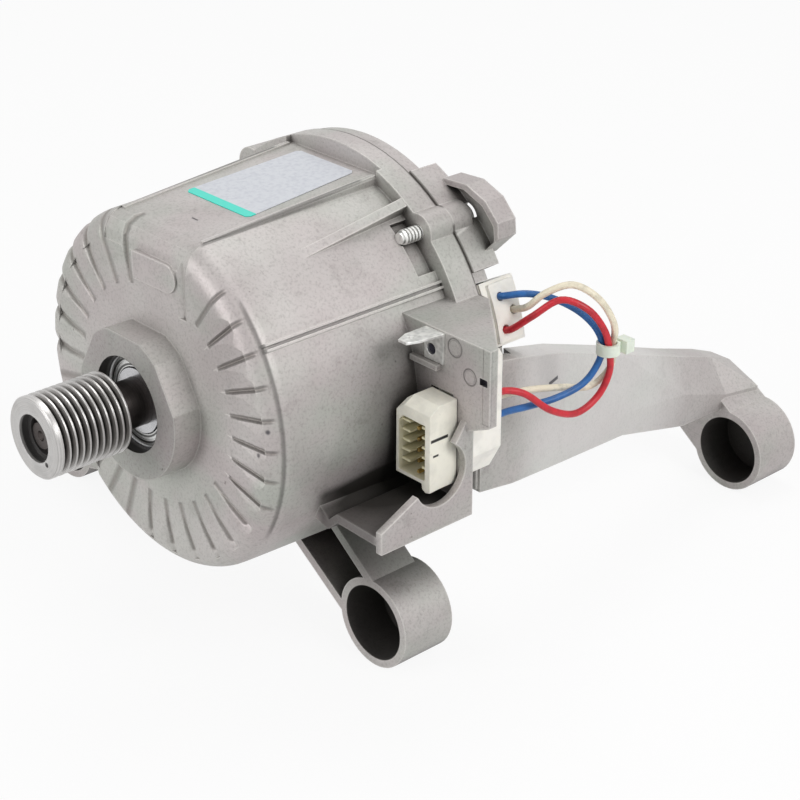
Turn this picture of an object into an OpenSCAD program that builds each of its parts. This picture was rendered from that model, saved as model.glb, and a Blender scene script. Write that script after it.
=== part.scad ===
// Drive motor of a washing machine: a die-cast aluminium housing with three mounting feet,
// a permanent magnet rotor on two ball bearings, a poly-V pulley and the wiring to its connector.
// The shaft runs along Y, the pulley is in front at -Y, and the origin is the middle of the belt track.

/* [Pulley] */
// Radius over the ridges of the belt track
pulley_r = 12.8; // [11.5:0.1:14]
// Length of the pulley
pulley_len = 26; // [25:0.5:32]
// Number of belt grooves
groove_count = 10; // [6:1:10]
// Distance between neighbouring belt grooves
groove_pitch = 2.34; // [2.3:0.01:2.4]
// Depth of a belt groove
groove_depth = 1.9; // [1.2:0.1:2.2]
// Radius of the recess in the front of the pulley
pulley_recess_r = 7.5; // [6.5:0.1:9]
// Depth of the recess in the front of the pulley
pulley_recess_depth = 3; // [2:0.5:5]

/* [Shaft] */
// Radius of the shaft inside the pulley
shaft_pulley_r = 6; // [5.6:0.1:6.6]
// Radius of the shaft tip that shows in the pulley's recess
shaft_tip_r = 4.5; // [3.5:0.1:5]
// Radius of the shaft under the rotor core
shaft_core_r = 8.5; // [7.8:0.1:9]

/* [Front bearing] */
// Radius of the bore, also the shaft's
front_bore_r = 7.5; // [7.3:0.1:8]
// Outer radius
front_outer_r = 17.5; // [17:0.1:18]
// Width
front_width = 11; // [10:0.5:12]

/* [Rear bearing] */
// Radius of the bore, also the shaft's
rear_bore_r = 6; // [5.8:0.1:6.6]
// Outer radius
rear_outer_r = 16; // [15.5:0.1:16.5]
// Width
rear_width = 10; // [9:0.5:11]

/* [Balls] */
// Radius of a bearing ball
ball_r = 2.9; // [2.7:0.05:3]
// Balls in each bearing
ball_count = 8; // [6:1:8]

/* [Housing] */
// Gap between the pulley and the hub
hub_gap = 7; // [5:0.5:12]
// Height of the hub above the front shield
hub_height = 9.6; // [8.5:0.1:12]
// Thickness of the lip in front of the bearing
hub_lip = 4; // [3:0.5:5]
// Radius of the hub's round parts
hub_r = 24; // [23.5:0.1:26]
// Distance of the hub's three flats from the axis
hub_flat = 22.6; // [21.8:0.1:23.2]
// Radius of the opening in the hub
hub_hole_r = 15.3; // [14:0.1:16]
// Length of the housing from its front shield to the cover
body_len = 81.4; // [78:0.2:96]
// Radius of the body behind the front edge
body_front_r = 57.5; // [57:0.1:58.5]
// Radius of the body at its rear flange
body_rear_r = 59.5; // [58.8:0.1:60.4]
// Radius of the cavity, which holds the stator
cavity_r = 52; // [51.2:0.1:52.6]
// Thickness of the front shield
shield_wall = 4.4; // [3.5:0.1:6]
// Rounding between the shield and the body
edge_r = 7.5; // [6:0.5:9]
// Radius of the rear flange
flange_r = 64; // [63:0.1:65]
// Thickness of the rear flange
flange_len = 9.5; // [8:0.5:12]

/* [Fluted shield] */
// Depth of a flute at its outer end
flute_depth = 1.25; // [0.8:0.05:1.6]
// Half width of a flute
flute_half = 3.6; // [2.6:0.1:3.8]
// Radius at which the flutes begin
flute_start_r = 35.5; // [34:0.5:40]
// Half width of the plain band at the top
band_half = 17.5; // [15:0.5:19]

/* [Label platform] */
// Height of the platform at its front edge
platform_front_z = 53.2; // [52.5:0.1:54]
// Height of the platform at its rear edge
platform_rear_z = 58; // [57:0.1:58.5]
// Half width of the platform at its front edge
platform_front_half = 20.2; // [19:0.1:21]
// Half width of the platform at its rear edge
platform_rear_half = 21.6; // [20.5:0.1:22.5]

/* [Feet] */
// Outer radius of a foot's barrel
foot_r = 15.3; // [14.8:0.1:17]
// Radius of the bore that takes the rubber bush
foot_bore_r = 12.6; // [11.5:0.1:12.8]
// Depth of that bore
foot_bore_depth = 15.5; // [13:0.5:17]
// Length of a barrel
foot_len = 20; // [19:0.5:24]
// Radius of the hole for the mounting bolt
foot_bolt_r = 3.3; // [2.7:0.1:4.3]
// Sideways place of the two right feet
foot_right_x = 51; // [49:0.5:53]
// Sideways place of the left foot
foot_left_x = -120; // [-124:0.5:-110]
// Height of the barrels' axes
foot_z = -76; // [-78:0.5:-75]
// Front face of the front barrels
foot_front_y = 73; // [72:0.5:75]
// Front face of the rear barrel
foot_rear_y = 247; // [243:0.5:250]
// Wall thickness of the arms
arm_wall = 3.2; // [2.6:0.1:4]

/* [Connector bracket] */
// Front face of the upright plate
plate_y = 84.5; // [83:0.5:86]
// Thickness of the plate
plate_t = 3; // [2.5:0.1:3.5]
// Height of the plate's top
plate_top_z = 28; // [27:0.5:29]
// Right end of the plate
plate_right_x = 89.5; // [88:0.5:91]
// Right end of the tray
tray_right_x = 80; // [79:0.5:83]
// Underside of the tray's outer cheek
tray_z = -30; // [-32:0.5:-29]
// Front edge of the tray
tray_front_y = 51; // [48:0.5:58]

/* [Connector] */
// Left side of the connector
conn_x = 63.8; // [63:0.1:64]
// Width of the connector
conn_w = 11.6; // [11:0.1:12]
// Underside of the connector
conn_z = -19; // [-20:0.5:-18]
// Height of the connector
conn_h = 25.5; // [24:0.5:26]
// Length of the connector in front of the plate
conn_len = 12.5; // [11:0.5:16]
// Wall thickness of the connector
conn_wall = 1.3; // [1:0.1:1.5]
// Number of contacts
contact_count = 6; // [4:1:6]

/* [Stator and rotor] */
// Number of stator teeth
tooth_count = 12; // [9:3:12]
// Radius of the stator's bore
stator_bore_r = 33.5; // [33:0.1:35]
// Half width of a stator tooth
tooth_half = 4.2; // [3.6:0.1:4.6]
// Radius at the bottom of the slots
slot_r = 47; // [46.5:0.1:48]
// Gap between the rotor and the stator
air_gap = 0.8; // [0.6:0.1:1.2]
// Number of rotor magnets
magnet_count = 8; // [6:2:10]
// Thickness of a magnet
magnet_t = 3.1; // [2.5:0.1:3.6]
// Thickness of the wire in a coil, sideways
coil_t = 3.4; // [2.6:0.1:3.6]

/* [Rear cover] */
// Radius of the cover's rim
cover_r = 63.2; // [62.8:0.1:63.6]
// Depth of the cover's rim
cover_rim = 7; // [6:0.5:8]
// Depth of the whole cover
cover_depth = 16; // [15:0.5:20]
// Distance of the cover screws from the axis
screw_ring_r = 60.8; // [60.6:0.1:61.2]
// Radius of a cover screw
screw_r = 2.4; // [2:0.1:2.5]

/* [Wires] */
// Diameter of a wire with its insulation
wire_d = 2.2; // [1.8:0.1:2.3]

/* [Hidden] */
$fn = 96;
// Clearance of a pressed or seated fit, and of a ball in its groove
fit = 0.02;
ball_gap = 0.1;
// Clearance of a cover screw in its hole
screw_gap = 0.08;
// Overlap that makes one cast body of two shapes
weld = 0.4;

// Places along the shaft, from the belt track backwards
pulley_half = pulley_len / 2;
hub_y = pulley_half + hub_gap;
front_seat_y = hub_y + hub_lip;
front_back_y = front_seat_y + front_width;
shield_y = hub_y + hub_height;
seam_y = shield_y + body_len;
flange_y = seam_y - flange_len;
front_room = 24.4;
back_room = 13;
stack_front_y = shield_y + front_room;
stack_back_y = seam_y - back_room;
rear_seat_y = seam_y + 2;
rear_back_y = rear_seat_y + rear_width;
washer_t = 1.3;
cover_back_y = seam_y + cover_depth;
edge_y = shield_y + edge_r;
edge_centre_r = body_front_r - edge_r;
draft = atan((body_rear_r - body_front_r) / (flange_y - edge_y));
function body_r(y) = body_front_r + (y - edge_y) * tan(draft);

// Turns a profile of radius and length into a body of revolution about the shaft
module spin_y(angle = 360) rotate([-90, 0, 0]) rotate_extrude(angle = angle) children();

// Extrudes an outline of X and Z along the shaft
module along_y(y, len) rotate([90, 0, 0]) translate([0, 0, -y - len]) linear_extrude(len) children();

// Extrudes an outline of Y and Z sideways
module along_x(x, len) translate([x, 0, 0]) rotate([90, 0, 90]) linear_extrude(len) children();

// Turns shapes that lie towards +X to an angle about the shaft, counted from +X up to +Z
module at_angle(a) rotate([0, -a, 0]) children();

module ring_y(y, len, outer, inner) along_y(y, len) difference() {
    circle(outer);
    circle(inner);
}

// A straight wall between two points of an outline, with its thickness on the right of the way
module wall(p, q, t) {
    way = (q - p) / norm(q - p);
    side = t * [way[1], -way[0]];
    polygon([p, q, q + side, p + side]);
}

// A sector of a ring about the shaft, from one angle to another
module sector(a0, a1, inner, outer, y, len) rotate([0, -a0, 0]) rotate([-90, 0, 0])
    mirror([0, 1, 0]) rotate_extrude(angle = a1 - a0) translate([inner, y]) square([outer - inner, len]);

/* Housing */
hub_inner_r = 23;
hub_back_y = front_back_y + 3;
circlip_t = 1.2;
circlip_y = front_back_y + fit;
circlip_groove = 1.1;
// The cavity is narrower in front of the stator, which seats on the step
winding_gap = 2.6;
front_cavity_r = slot_r + winding_gap;

module hub_outline() difference() {
    circle(hub_r);
    for (a = [30, 90, 150]) rotate(a) translate([hub_flat, -hub_r]) square(2 * hub_r);
}

module housing_outside() {
    along_y(hub_y, hub_height + weld) hub_outline();
    spin_y() {
        polygon([[0, shield_y], [edge_centre_r, shield_y], [edge_centre_r, edge_y],
            [body_front_r, edge_y], [body_rear_r, flange_y], [flange_r, flange_y],
            [flange_r, seam_y], [0, seam_y]]);
        translate([edge_centre_r, edge_y]) circle(edge_r);
    }
}

module housing_inside() {
    shield_back = shield_y + shield_wall;
    corner = edge_centre_r;
    spin_y() difference() {
        polygon([[0, shield_back], [corner - 6, shield_back], [front_cavity_r, shield_back + 5],
            [front_cavity_r, stack_front_y], [cavity_r, stack_front_y],
            [cavity_r, seam_y + 1], [0, seam_y + 1]]);
        translate([-1, 0]) square([hub_inner_r + 1, hub_back_y]);
    }
    spin_y() polygon([[0, hub_y - 1], [hub_hole_r, hub_y - 1], [hub_hole_r, front_seat_y],
        [front_outer_r + fit, front_seat_y], [front_outer_r + fit, circlip_y],
        [front_outer_r + circlip_groove, circlip_y],
        [front_outer_r + circlip_groove, circlip_y + circlip_t],
        [front_outer_r + fit, circlip_y + circlip_t], [front_outer_r + fit, hub_back_y + 1],
        [0, hub_back_y + 1]]);
}

// The flutes are tapered grooves that fan out over the shield and, away from the connector,
// run on over its rounded edge, so that the metal between them stands up in soft ridges.
function groove_points(depth) = [[-flute_half * 1.3, -0.2], [-flute_half * 0.62, depth * 0.22],
    [-flute_half * 0.22, depth * 0.6], [0, depth], [flute_half * 0.22, depth * 0.6],
    [flute_half * 0.62, depth * 0.22], [flute_half * 1.3, -0.2]];

module flute(angle, over_edge) {
    run = edge_centre_r - flute_start_r + (over_edge ? 0 : flute_runout);
    tilt = atan((flute_depth + 0.15) / (edge_centre_r - flute_start_r));
    at_angle(angle) {
        translate([flute_start_r, shield_y - flute_depth - 0.1, 0]) rotate([90, 0, 90 + tilt])
            linear_extrude(run / cos(tilt)) polygon([for (p = groove_points(flute_depth)) [p[1], p[0]]]);
        if (over_edge)
            translate([edge_centre_r, edge_y, 0]) mirror([0, 1, 0]) rotate_extrude(angle = 90)
                polygon([for (p = groove_points(flute_depth)) [edge_r - p[1], p[0]]]);
    }
}

// Fans of flutes: first and last angle, how many, and whether they run over the rounded edge
flute_fans = [[102, 180, 7, true], [191.7, 250, 6, true], [263, 328, 6, false], [340, 402, 7, false]];
flute_runout = 3.2;
module flutes() {
    for (f = flute_fans) for (k = [0:f[2] - 1]) flute(f[0] + k * (f[1] - f[0]) / (f[2] - 1), f[3]);
    for (s = [-1, 1]) translate([s * band_half, 0, 0]) at_angle(90) flute_side_groove();
}

module flute_side_groove() {
    translate([sqrt(flute_start_r * flute_start_r - band_half * band_half), shield_y, 0])
        rotate([90, 0, 90]) linear_extrude(edge_centre_r - flute_start_r + 3)
        polygon([for (p = groove_points(flute_depth)) [p[1], p[0] * 0.6]]);
}

module platform_top(height) along_x(-30, 60) polygon([[shield_y + 6, platform_front_z],
    [flange_y + 2, platform_rear_z], [flange_y + 2, height], [shield_y - 4, height],
    [shield_y - 4, 44.5], [shield_y + 0.15, 45.5], [shield_y + 0.8, 49], [shield_y + 2.6, 51.8]]);

module platform_plan() linear_extrude(80) polygon([
    [-platform_front_half, shield_y - 5], [platform_front_half, shield_y - 5],
    [platform_rear_half, flange_y + 2], [-platform_rear_half, flange_y + 2]]);

module platform_block() intersection() {
    along_x(-30, 60) polygon([[shield_y + 6, 30], [shield_y + 6, platform_front_z],
        [flange_y + 1, platform_rear_z], [flange_y + 1, 30]]);
    platform_plan();
}

platform_slope = atan((platform_rear_z - platform_front_z) / (flange_y - shield_y - 6));
platform_turn = atan((platform_rear_half - platform_front_half) / (flange_y - shield_y));
module platform_beads() for (s = [-1, 1])
    translate([s * platform_front_half, shield_y + 7, platform_front_z - 2.3])
        rotate([platform_slope, 0, -s * platform_turn])
        translate([s > 0 ? -1.7 : 0.1, 0, 0]) cube([1.6, flange_y - shield_y - 6.5, 3]);

// The blank label lies on the platform and narrows towards the rear
label_front_y = shield_y + 27;
label_margin = 1.5;
label_len = flange_y - label_front_y - label_margin;
label_front_half = 15.1;
label_rear_half = 13.4;
label_t = 0.2;
label_corner = 1.2;
function platform_z(y) = platform_front_z + (y - shield_y - 6) * tan(platform_slope);
module rating_label() color("#e6e4ee") intersection() {
    along_x(-platform_rear_half, 2 * platform_rear_half)
        polygon([for (p = [[0, 0], [label_len, 0], [label_len, label_t], [0, label_t]])
            [label_front_y + p[0], platform_z(label_front_y + p[0]) + fit + p[1]]]);
    linear_extrude(2 * platform_rear_z)
        polygon(concat(label_side(1), [for (i = [3:-1:0]) label_side(-1)[i]]));
}
function label_side(s) = [[s * (label_front_half - label_corner), label_front_y],
    [s * label_front_half, label_front_y + label_corner],
    [s * label_rear_half, label_front_y + label_len - label_corner],
    [s * (label_rear_half - label_corner), label_front_y + label_len]];

pad_x = 11;
pad_z = 42;
pad_r = 4.5;
module shield_pad() translate([pad_x, shield_y, pad_z]) rotate([0, 0, 2.2])
    along_y(-0.9, 1.6) union() {
        circle(pad_r);
        translate([-15.5, -pad_r]) square([15.5, 2 * pad_r]);
    }

rib_angles = [31.2, 32.9];
module parting_ribs() for (a = rib_angles) at_angle(a)
    translate([body_front_r - 2, edge_y - 3, -0.42]) rotate([0, 0, -draft])
        cube([2.9, flange_y - edge_y + 4, 0.85]);

module wedge_rib() at_angle(56) translate([body_front_r - 1, edge_y + 12, -4])
    rotate([4.4, 0, 0]) linear_extrude(3.2)
    polygon([[0, 0], [0, flange_y - edge_y - 11], [7.2, flange_y - edge_y - 11]]);

screw_angles = [48.5, 131.5, 228.5, 311.5];
lobe_r = 6;
module flange_lobes() for (a = screw_angles) at_angle(a) translate([screw_ring_r, 0, 0])
    along_y(flange_y, flange_len) circle(lobe_r);

module screw_pockets() for (a = screw_angles) {
    sector(a - 12, a + 5.5, body_front_r, flange_r + 4, flange_y - 6.5, 6.5);
    at_angle(a) translate([screw_ring_r, 0, 0]) along_y(flange_y - 7, flange_len + 8)
        circle(screw_r + screw_gap);
}

/* Feet */
module barrel(x, y) translate([x, 0, foot_z]) along_y(y, foot_len) circle(foot_r);

module barrel_bore(x, y) translate([x, 0, foot_z]) {
    along_y(y - 1, foot_bore_depth + 1) circle(foot_bore_r);
    along_y(y, foot_len + 1) circle(foot_bolt_r);
}

arm_depth = 18;
// Outline points of the arms, in X and Z, from the body to the barrels
right_top = [[29, -44.1], [foot_right_x, foot_z + foot_r]];
right_low = [[4, -56.4], [foot_right_x - foot_r, foot_z - 2]];
left_top = [[-43, -34], [foot_left_x, foot_z + foot_r]];
left_low = [[-8, -56], [foot_left_x + foot_r - 1.4, foot_z - 7]];

module arm(top, low, foot, mid) {
    along_y(foot_front_y, arm_depth) {
        if (foot[0] > 0) wall(top[0], top[1], arm_wall); else wall(top[1], top[0], arm_wall);
        if (foot[0] > 0) wall(low[1], low[0], arm_wall); else wall(low[0], low[1], arm_wall);
    }
    along_y(foot_front_y + arm_depth - arm_wall, arm_wall)
        polygon([top[0], top[1], foot, low[1], low[0]]);
    for (m = mid) along_y(foot_front_y + 2, arm_depth - 3) {
        p = top[0] + m * (top[1] - top[0]);
        q = low[0] + m * (low[1] - low[0]);
        wall(p, q, arm_wall * 0.8);
    }
}

module front_arms() {
    arm(right_top, right_low, [foot_right_x, foot_z], []);
    arm(left_top, left_low, [foot_left_x, foot_z], [0.35, 0.68]);
    barrel(foot_right_x, foot_front_y);
    barrel(foot_left_x, foot_front_y);
}

// Stations of the long rear arm: its place along Y, then X and Z of its top edge, X and Z of the
// crease along its outer side, and Z of its lower edge. It is cast on the right side of the flange
// and slims down towards the rear barrel.
arm_root_x = flange_r + 4;
arm_reach = 9;
rear_arm = [[flange_y + 1, arm_root_x, 12.5, arm_root_x, -21, -33],
    [seam_y - 1, arm_root_x, 9.6, arm_root_x, -23.5, -34],
    [seam_y + 6, arm_root_x, 8.4, arm_root_x, -26, -35],
    [foot_rear_y - 100, foot_right_x + 8.5, foot_z + 74, foot_right_x + 10, foot_z + 45, foot_z + 35],
    [foot_rear_y - 64, foot_right_x + 0.8, foot_z + 59.6, foot_right_x + 4.2, foot_z + 38, foot_z + 30],
    [foot_rear_y - 24, foot_right_x - 7.5, foot_z + 43, foot_right_x - 2, foot_z + 30, foot_z + 17.5],
    [foot_rear_y + 3, foot_right_x - 13.2, foot_z + 32.4, foot_right_x - 5, foot_z + 20, foot_z + 14.5],
    [foot_rear_y + foot_len - 1, foot_right_x - 17, foot_z + 25, foot_right_x - 3, foot_z + 19,
        foot_z + 14.4]];

function arm_section(s, t) = [[s[1] - arm_reach - t, s[2] - t], [s[1] - t, s[2] - t], [s[3] - t, s[4]],
    [s[3] - t, s[5] + t], [s[3] - arm_reach - t, s[5] + t]];

// Points and faces of the arm, or with a thickness t of the channel that hollows it out
function arm_points(t) = [for (i = [0:len(rear_arm) - 1]) let (s = rear_arm[i],
    over = i == 0 ? -weld : i == len(rear_arm) - 1 ? weld : 0)
    for (p = arm_section(s, t)) [p[0], s[0] + (t > 0 ? over : 0), p[1]]];
function loft_faces(rows, n) = concat(
    [for (i = [0:rows - 2]) for (j = [0:n - 1]) let (a = i * n + j, b = i * n + (j + 1) % n)
        each [[a, b + n, b], [a, a + n, b + n]]],
    [[for (j = [0:n - 1]) j]],
    [[for (j = [n - 1:-1:0]) (rows - 1) * n + j]]);

module rear_foot_arm() {
    difference() {
        polyhedron(arm_points(0), loft_faces(len(rear_arm), 5));
        polyhedron(arm_points(arm_wall), loft_faces(len(rear_arm), 5));
        cover_room();
    }
    along_y(flange_y, flange_len) translate([flange_r - 5, -32]) square([8.2, 44]);
    along_y(foot_rear_y, foot_len)
        polygon([[foot_right_x - 7, foot_z + 20], [foot_right_x, foot_z + foot_r], [foot_right_x, foot_z],
            [foot_right_x - 14.5, foot_z - 5], [foot_right_x - 22.7, foot_z + 1],
            [foot_right_x - 18, foot_z + 18]]);
    barrel(foot_right_x, foot_rear_y);
}

// The room that the arm leaves for the rear cover
module cover_room() spin_y() polygon([[0, seam_y], [cover_r + 0.6, seam_y],
    [cover_r + 0.6, seam_y + cover_rim + 1.5], [cavity_r + 3.6, seam_y + cover_rim + 5],
    [0, seam_y + cover_rim + 5]]);

/* Connector bracket */
conn_top_z = conn_z + conn_h;
plate_back_y = plate_y + plate_t;
cheek_r = 10;
cheek_inner_z = tray_z + 8;
module bracket() {
    along_y(plate_y, plate_t) polygon([[46, plate_top_z], [plate_right_x, plate_top_z],
        [plate_right_x, 3.3], [tray_right_x, -1], [tray_right_x, tray_z], [40, tray_z]]);
    translate([0, 0, plate_top_z - plate_t]) linear_extrude(plate_t) polygon([[50, plate_y],
        [plate_right_x, plate_y], [plate_right_x, plate_back_y], [62, seam_y], [50, seam_y]]);
    tray_floor();
    tray_cheek();
    bracket_ledge();
}

module tray_floor() {
    along_y(tray_front_y, plate_y - tray_front_y + weld) polygon([[46, tray_z + 10],
        [56.4, tray_z + 2.2], [60, tray_z + 5.5], [tray_right_x, tray_z + 5],
        [tray_right_x, tray_z + 2.2], [60.5, tray_z + 2.7], [56.4, tray_z - 1], [40, tray_z + 2]]);
}

// The cheek is the tray's right side wall, which sweeps up into the edge of the plate
module tray_cheek() along_x(tray_right_x - 2.4, 2.4) {
    difference() {
        polygon([[tray_front_y, tray_z], [plate_back_y, tray_z], [plate_back_y, 2],
            [plate_y, 2], [plate_y - cheek_r, cheek_inner_z + cheek_r], [tray_front_y, cheek_inner_z - 1]]);
        translate([plate_y - cheek_r, cheek_inner_z + cheek_r]) circle(cheek_r);
    }
}

module bracket_ledge() translate([58, plate_y - 2.4, 15.7]) cube([11.5, 2.4 + weld, 1.8]);

module bracket_openings() {
    translate([conn_x + 1, plate_y - 1, conn_z + 1]) cube([conn_w - 2, plate_t + 2, conn_h + 1.5]);
    translate([85.2, plate_y - 1, 16.2]) cube([3.2, plate_t + 2, 2.2]);
}

module motor_housing() color("#c9c4c0") {
    difference() {
        union() {
            difference() {
                housing_outside();
                intersection() {
                    platform_top(75);
                    platform_plan();
                }
            }
            platform_block();
            platform_beads();
            shield_pad();
            parting_ribs();
            flange_lobes();
            front_arms();
            bracket();
            rear_foot_arm();
        }
        housing_inside();
        flutes();
        screw_pockets();
        bracket_openings();
        barrel_bore(foot_right_x, foot_front_y);
        barrel_bore(foot_left_x, foot_front_y);
        barrel_bore(foot_right_x, foot_rear_y);
    }
    wedge_rib();
}

/* Rear cover */
block_a0 = 10;
block_a1 = 28.5;
block_gap = 0.5;
cover_wall = 3.4;
lobe_len = cover_rim + 0.8;
ear_y = seam_y + 11;
module rear_cover() color("#c4bfbb") difference() {
    union() {
        spin_y() polygon([[0, cover_back_y], [rear_outer_r + 3.5, cover_back_y],
            [rear_outer_r + 4.5, cover_back_y - 4], [cavity_r - 4, cover_back_y - 5],
            [cavity_r + 3, cover_back_y - 6.5], [cover_r - 1.5, seam_y + cover_rim],
            [cover_r, seam_y + cover_rim - 1.5], [cover_r, seam_y], [0, seam_y]]);
        for (a = screw_angles) at_angle(a) translate([screw_ring_r, 0, 0])
            along_y(seam_y, lobe_len) circle(lobe_r);
        cover_shoulder();
        cover_ear();
    }
    spin_y() polygon([[rear_outer_r + 3.2, seam_y - 1], [cavity_r, seam_y - 1],
        [cavity_r, cover_back_y - 6.5 - cover_wall], [cavity_r - 5, cover_back_y - 5 - cover_wall],
        [rear_outer_r + 3.2, cover_back_y - 5 - cover_wall]]);
    spin_y() polygon([[0, seam_y - 1], [rear_outer_r + fit, seam_y - 1],
        [rear_outer_r + fit, rear_back_y + washer_t], [rear_bore_r + 5, rear_back_y + washer_t],
        [rear_bore_r + 3, rear_back_y + washer_t + 1.6], [0, rear_back_y + washer_t + 1.6]]);
    for (a = screw_angles) at_angle(a) translate([screw_ring_r, 0, 0]) {
        along_y(seam_y - 1, cover_depth) circle(screw_r + screw_gap);
        along_y(seam_y + lobe_len, cover_depth) circle(screw_head_r + 0.4);
    }
    sector(block_a0 - block_gap, block_a1 + block_gap, cavity_r - block_gap, flange_r + 8,
        seam_y - 1, cover_depth + 4);
}

module cover_shoulder() sector(32, 66, cavity_r - 2, cover_r + 1.4, seam_y, 11);

// The ear beside the right upper screw is a lug with a raised rim around a recessed face
ear = [[24, 52], [33, 56.6], [43, 57.2], [51.5, 54], [56.8, 48.5], [57.2, 43.5], [49, 35.4], [40, 30]];
module cover_ear() {
    along_y(ear_y, 4.6) difference() {
        polygon(ear);
        circle(cavity_r - 2);
    }
    along_y(ear_y - 3, 3 + weld) difference() {
        polygon(ear);
        polygon([for (p = ear) [0.8, 0.6] + 0.955 * p]);
        circle(cover_r + 1);
    }
}

/* Screws of the cover */
screw_head_r = 4.2;
screw_head_h = 3;
screw_tip_y = flange_y - 7.6;
screw_seat_y = seam_y + lobe_len + fit;
module cover_screws() color("#c9ccce") for (a = screw_angles) at_angle(a)
    translate([screw_ring_r, 0, 0]) difference() {
        spin_y() polygon([[0, screw_tip_y], [screw_r - 0.7, screw_tip_y], [screw_r, screw_tip_y + 1.6],
            [screw_r, screw_seat_y], [screw_head_r, screw_seat_y],
            [screw_head_r, screw_seat_y + screw_head_h - 0.5],
            [screw_head_r - 0.6, screw_seat_y + screw_head_h], [0, screw_seat_y + screw_head_h]]);
        along_y(screw_seat_y + 1.2, 4) circle(2.2, $fn = 6);
    }

/* Stator */
tooth_step = 360 / tooth_count;
slot_neck = 1.3;
module slot_outline() {
    r1 = stator_bore_r + 3;
    w1 = r1 * tan(tooth_step / 2) - tooth_half;
    w2 = slot_r * tan(tooth_step / 2) - tooth_half;
    polygon([[stator_bore_r - 1, -slot_neck], [r1 - 1, -slot_neck], [r1, -w1], [slot_r, -w2],
        [slot_r, w2], [r1, w1], [r1 - 1, slot_neck], [stator_bore_r - 1, slot_neck]]);
}

module stator_core() color("#6f7274") along_y(stack_front_y, stack_back_y - stack_front_y) difference() {
    circle(cavity_r - fit);
    circle(stator_bore_r);
    for (i = [0:tooth_count - 1]) rotate((i + 0.5) * tooth_step) slot_outline();
}

end_turn = 4;
insulator_t = 1.5;
insulator_h = end_turn + insulator_t + 2;
module insulator() {
    along_y(0, insulator_t)
        for (i = [0:tooth_count - 1]) rotate(i * tooth_step)
            translate([stator_bore_r + 0.8, -tooth_half]) square([slot_r - stator_bore_r, 2 * tooth_half]);
    along_y(0, insulator_h) {
        difference() {
            circle(slot_r + 2);
            circle(slot_r + 0.1);
        }
        for (i = [0:tooth_count - 1]) rotate(i * tooth_step)
            translate([stator_bore_r + 0.8, -tooth_half]) square([1.8, 2 * tooth_half]);
    }
}

module insulator_front() color("#e8e2cf") translate([0, stack_front_y, 0]) mirror([0, 1, 0]) insulator();

module insulator_rear() color("#e8e2cf") translate([0, stack_back_y, 0]) insulator();

coil_room = 4;
coil_in_r = stator_bore_r + coil_room;
coil_out_r = slot_r - 0.8;
coil_half = tooth_half + 0.8;
module stator_coils() color("#a85c2a") for (i = [0:tooth_count - 1]) at_angle(i * tooth_step)
    translate([coil_in_r, 0, 0]) rotate([90, 0, 90]) linear_extrude(coil_out_r - coil_in_r) difference() {
        translate([stack_front_y - insulator_t - end_turn, -coil_half - coil_t])
            square([stack_back_y - stack_front_y + 2 * (insulator_t + end_turn), 2 * (coil_half + coil_t)]);
        translate([stack_front_y - insulator_t, -coil_half])
            square([stack_back_y - stack_front_y + 2 * insulator_t, 2 * coil_half]);
    }

/* Rotor */
rotor_r = stator_bore_r - air_gap;
core_r = rotor_r - magnet_t;
core_hole_r = 4.6;
core_hole_ring = 18;
end_plate_t = 2;
module rotor_core() color("#5d6063") along_y(stack_front_y, stack_back_y - stack_front_y) difference() {
    circle(core_r);
    circle(shaft_core_r + fit);
    for (i = [0:5]) rotate(i * 60) translate([core_hole_ring, 0]) circle(core_hole_r);
}

magnet_arc = 360 / magnet_count - 4;
module rotor_magnets() color("#3a3c40") for (i = [0:magnet_count - 1])
    sector(i * 360 / magnet_count, i * 360 / magnet_count + magnet_arc, core_r + fit, rotor_r,
        stack_front_y, stack_back_y - stack_front_y);

module rotor_end_plates() color("#b9bbbc") {
    ring_y(stack_front_y - end_plate_t, end_plate_t, rotor_r - 0.6, shaft_core_r + fit);
    ring_y(stack_back_y, end_plate_t, rotor_r - 0.6, shaft_core_r + fit);
}

tip_y = -pulley_half + pulley_recess_depth - 0.5;
shaft_step_y = -pulley_half + pulley_recess_depth + 2;
shaft_shoulder_r = front_bore_r + 2;
rear_shoulder_r = rear_bore_r + 1.6;
module shaft() color("#8d8f91") difference() {
    spin_y() polygon([[0, tip_y], [shaft_tip_r - 0.4, tip_y], [shaft_tip_r, tip_y + 0.4],
        [shaft_tip_r, shaft_step_y], [shaft_pulley_r, shaft_step_y], [shaft_pulley_r, pulley_half + fit],
        [front_bore_r - fit, pulley_half + fit], [front_bore_r - fit, front_back_y + fit],
        [shaft_shoulder_r, front_back_y + fit], [shaft_shoulder_r, stack_front_y - 8],
        [shaft_core_r, stack_front_y - 7], [shaft_core_r, stack_back_y + 4],
        [rear_shoulder_r, stack_back_y + 5], [rear_shoulder_r, rear_seat_y - fit],
        [rear_bore_r - fit, rear_seat_y - fit], [rear_bore_r - fit, rear_back_y + 1],
        [rear_bore_r - 1, rear_back_y + 1.6], [0, rear_back_y + 1.6]]);
    spin_y() polygon([[0, tip_y - 1], [1.6, tip_y - 1], [1.6, tip_y + 0.1], [0, tip_y + 2.6]]);
}

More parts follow.
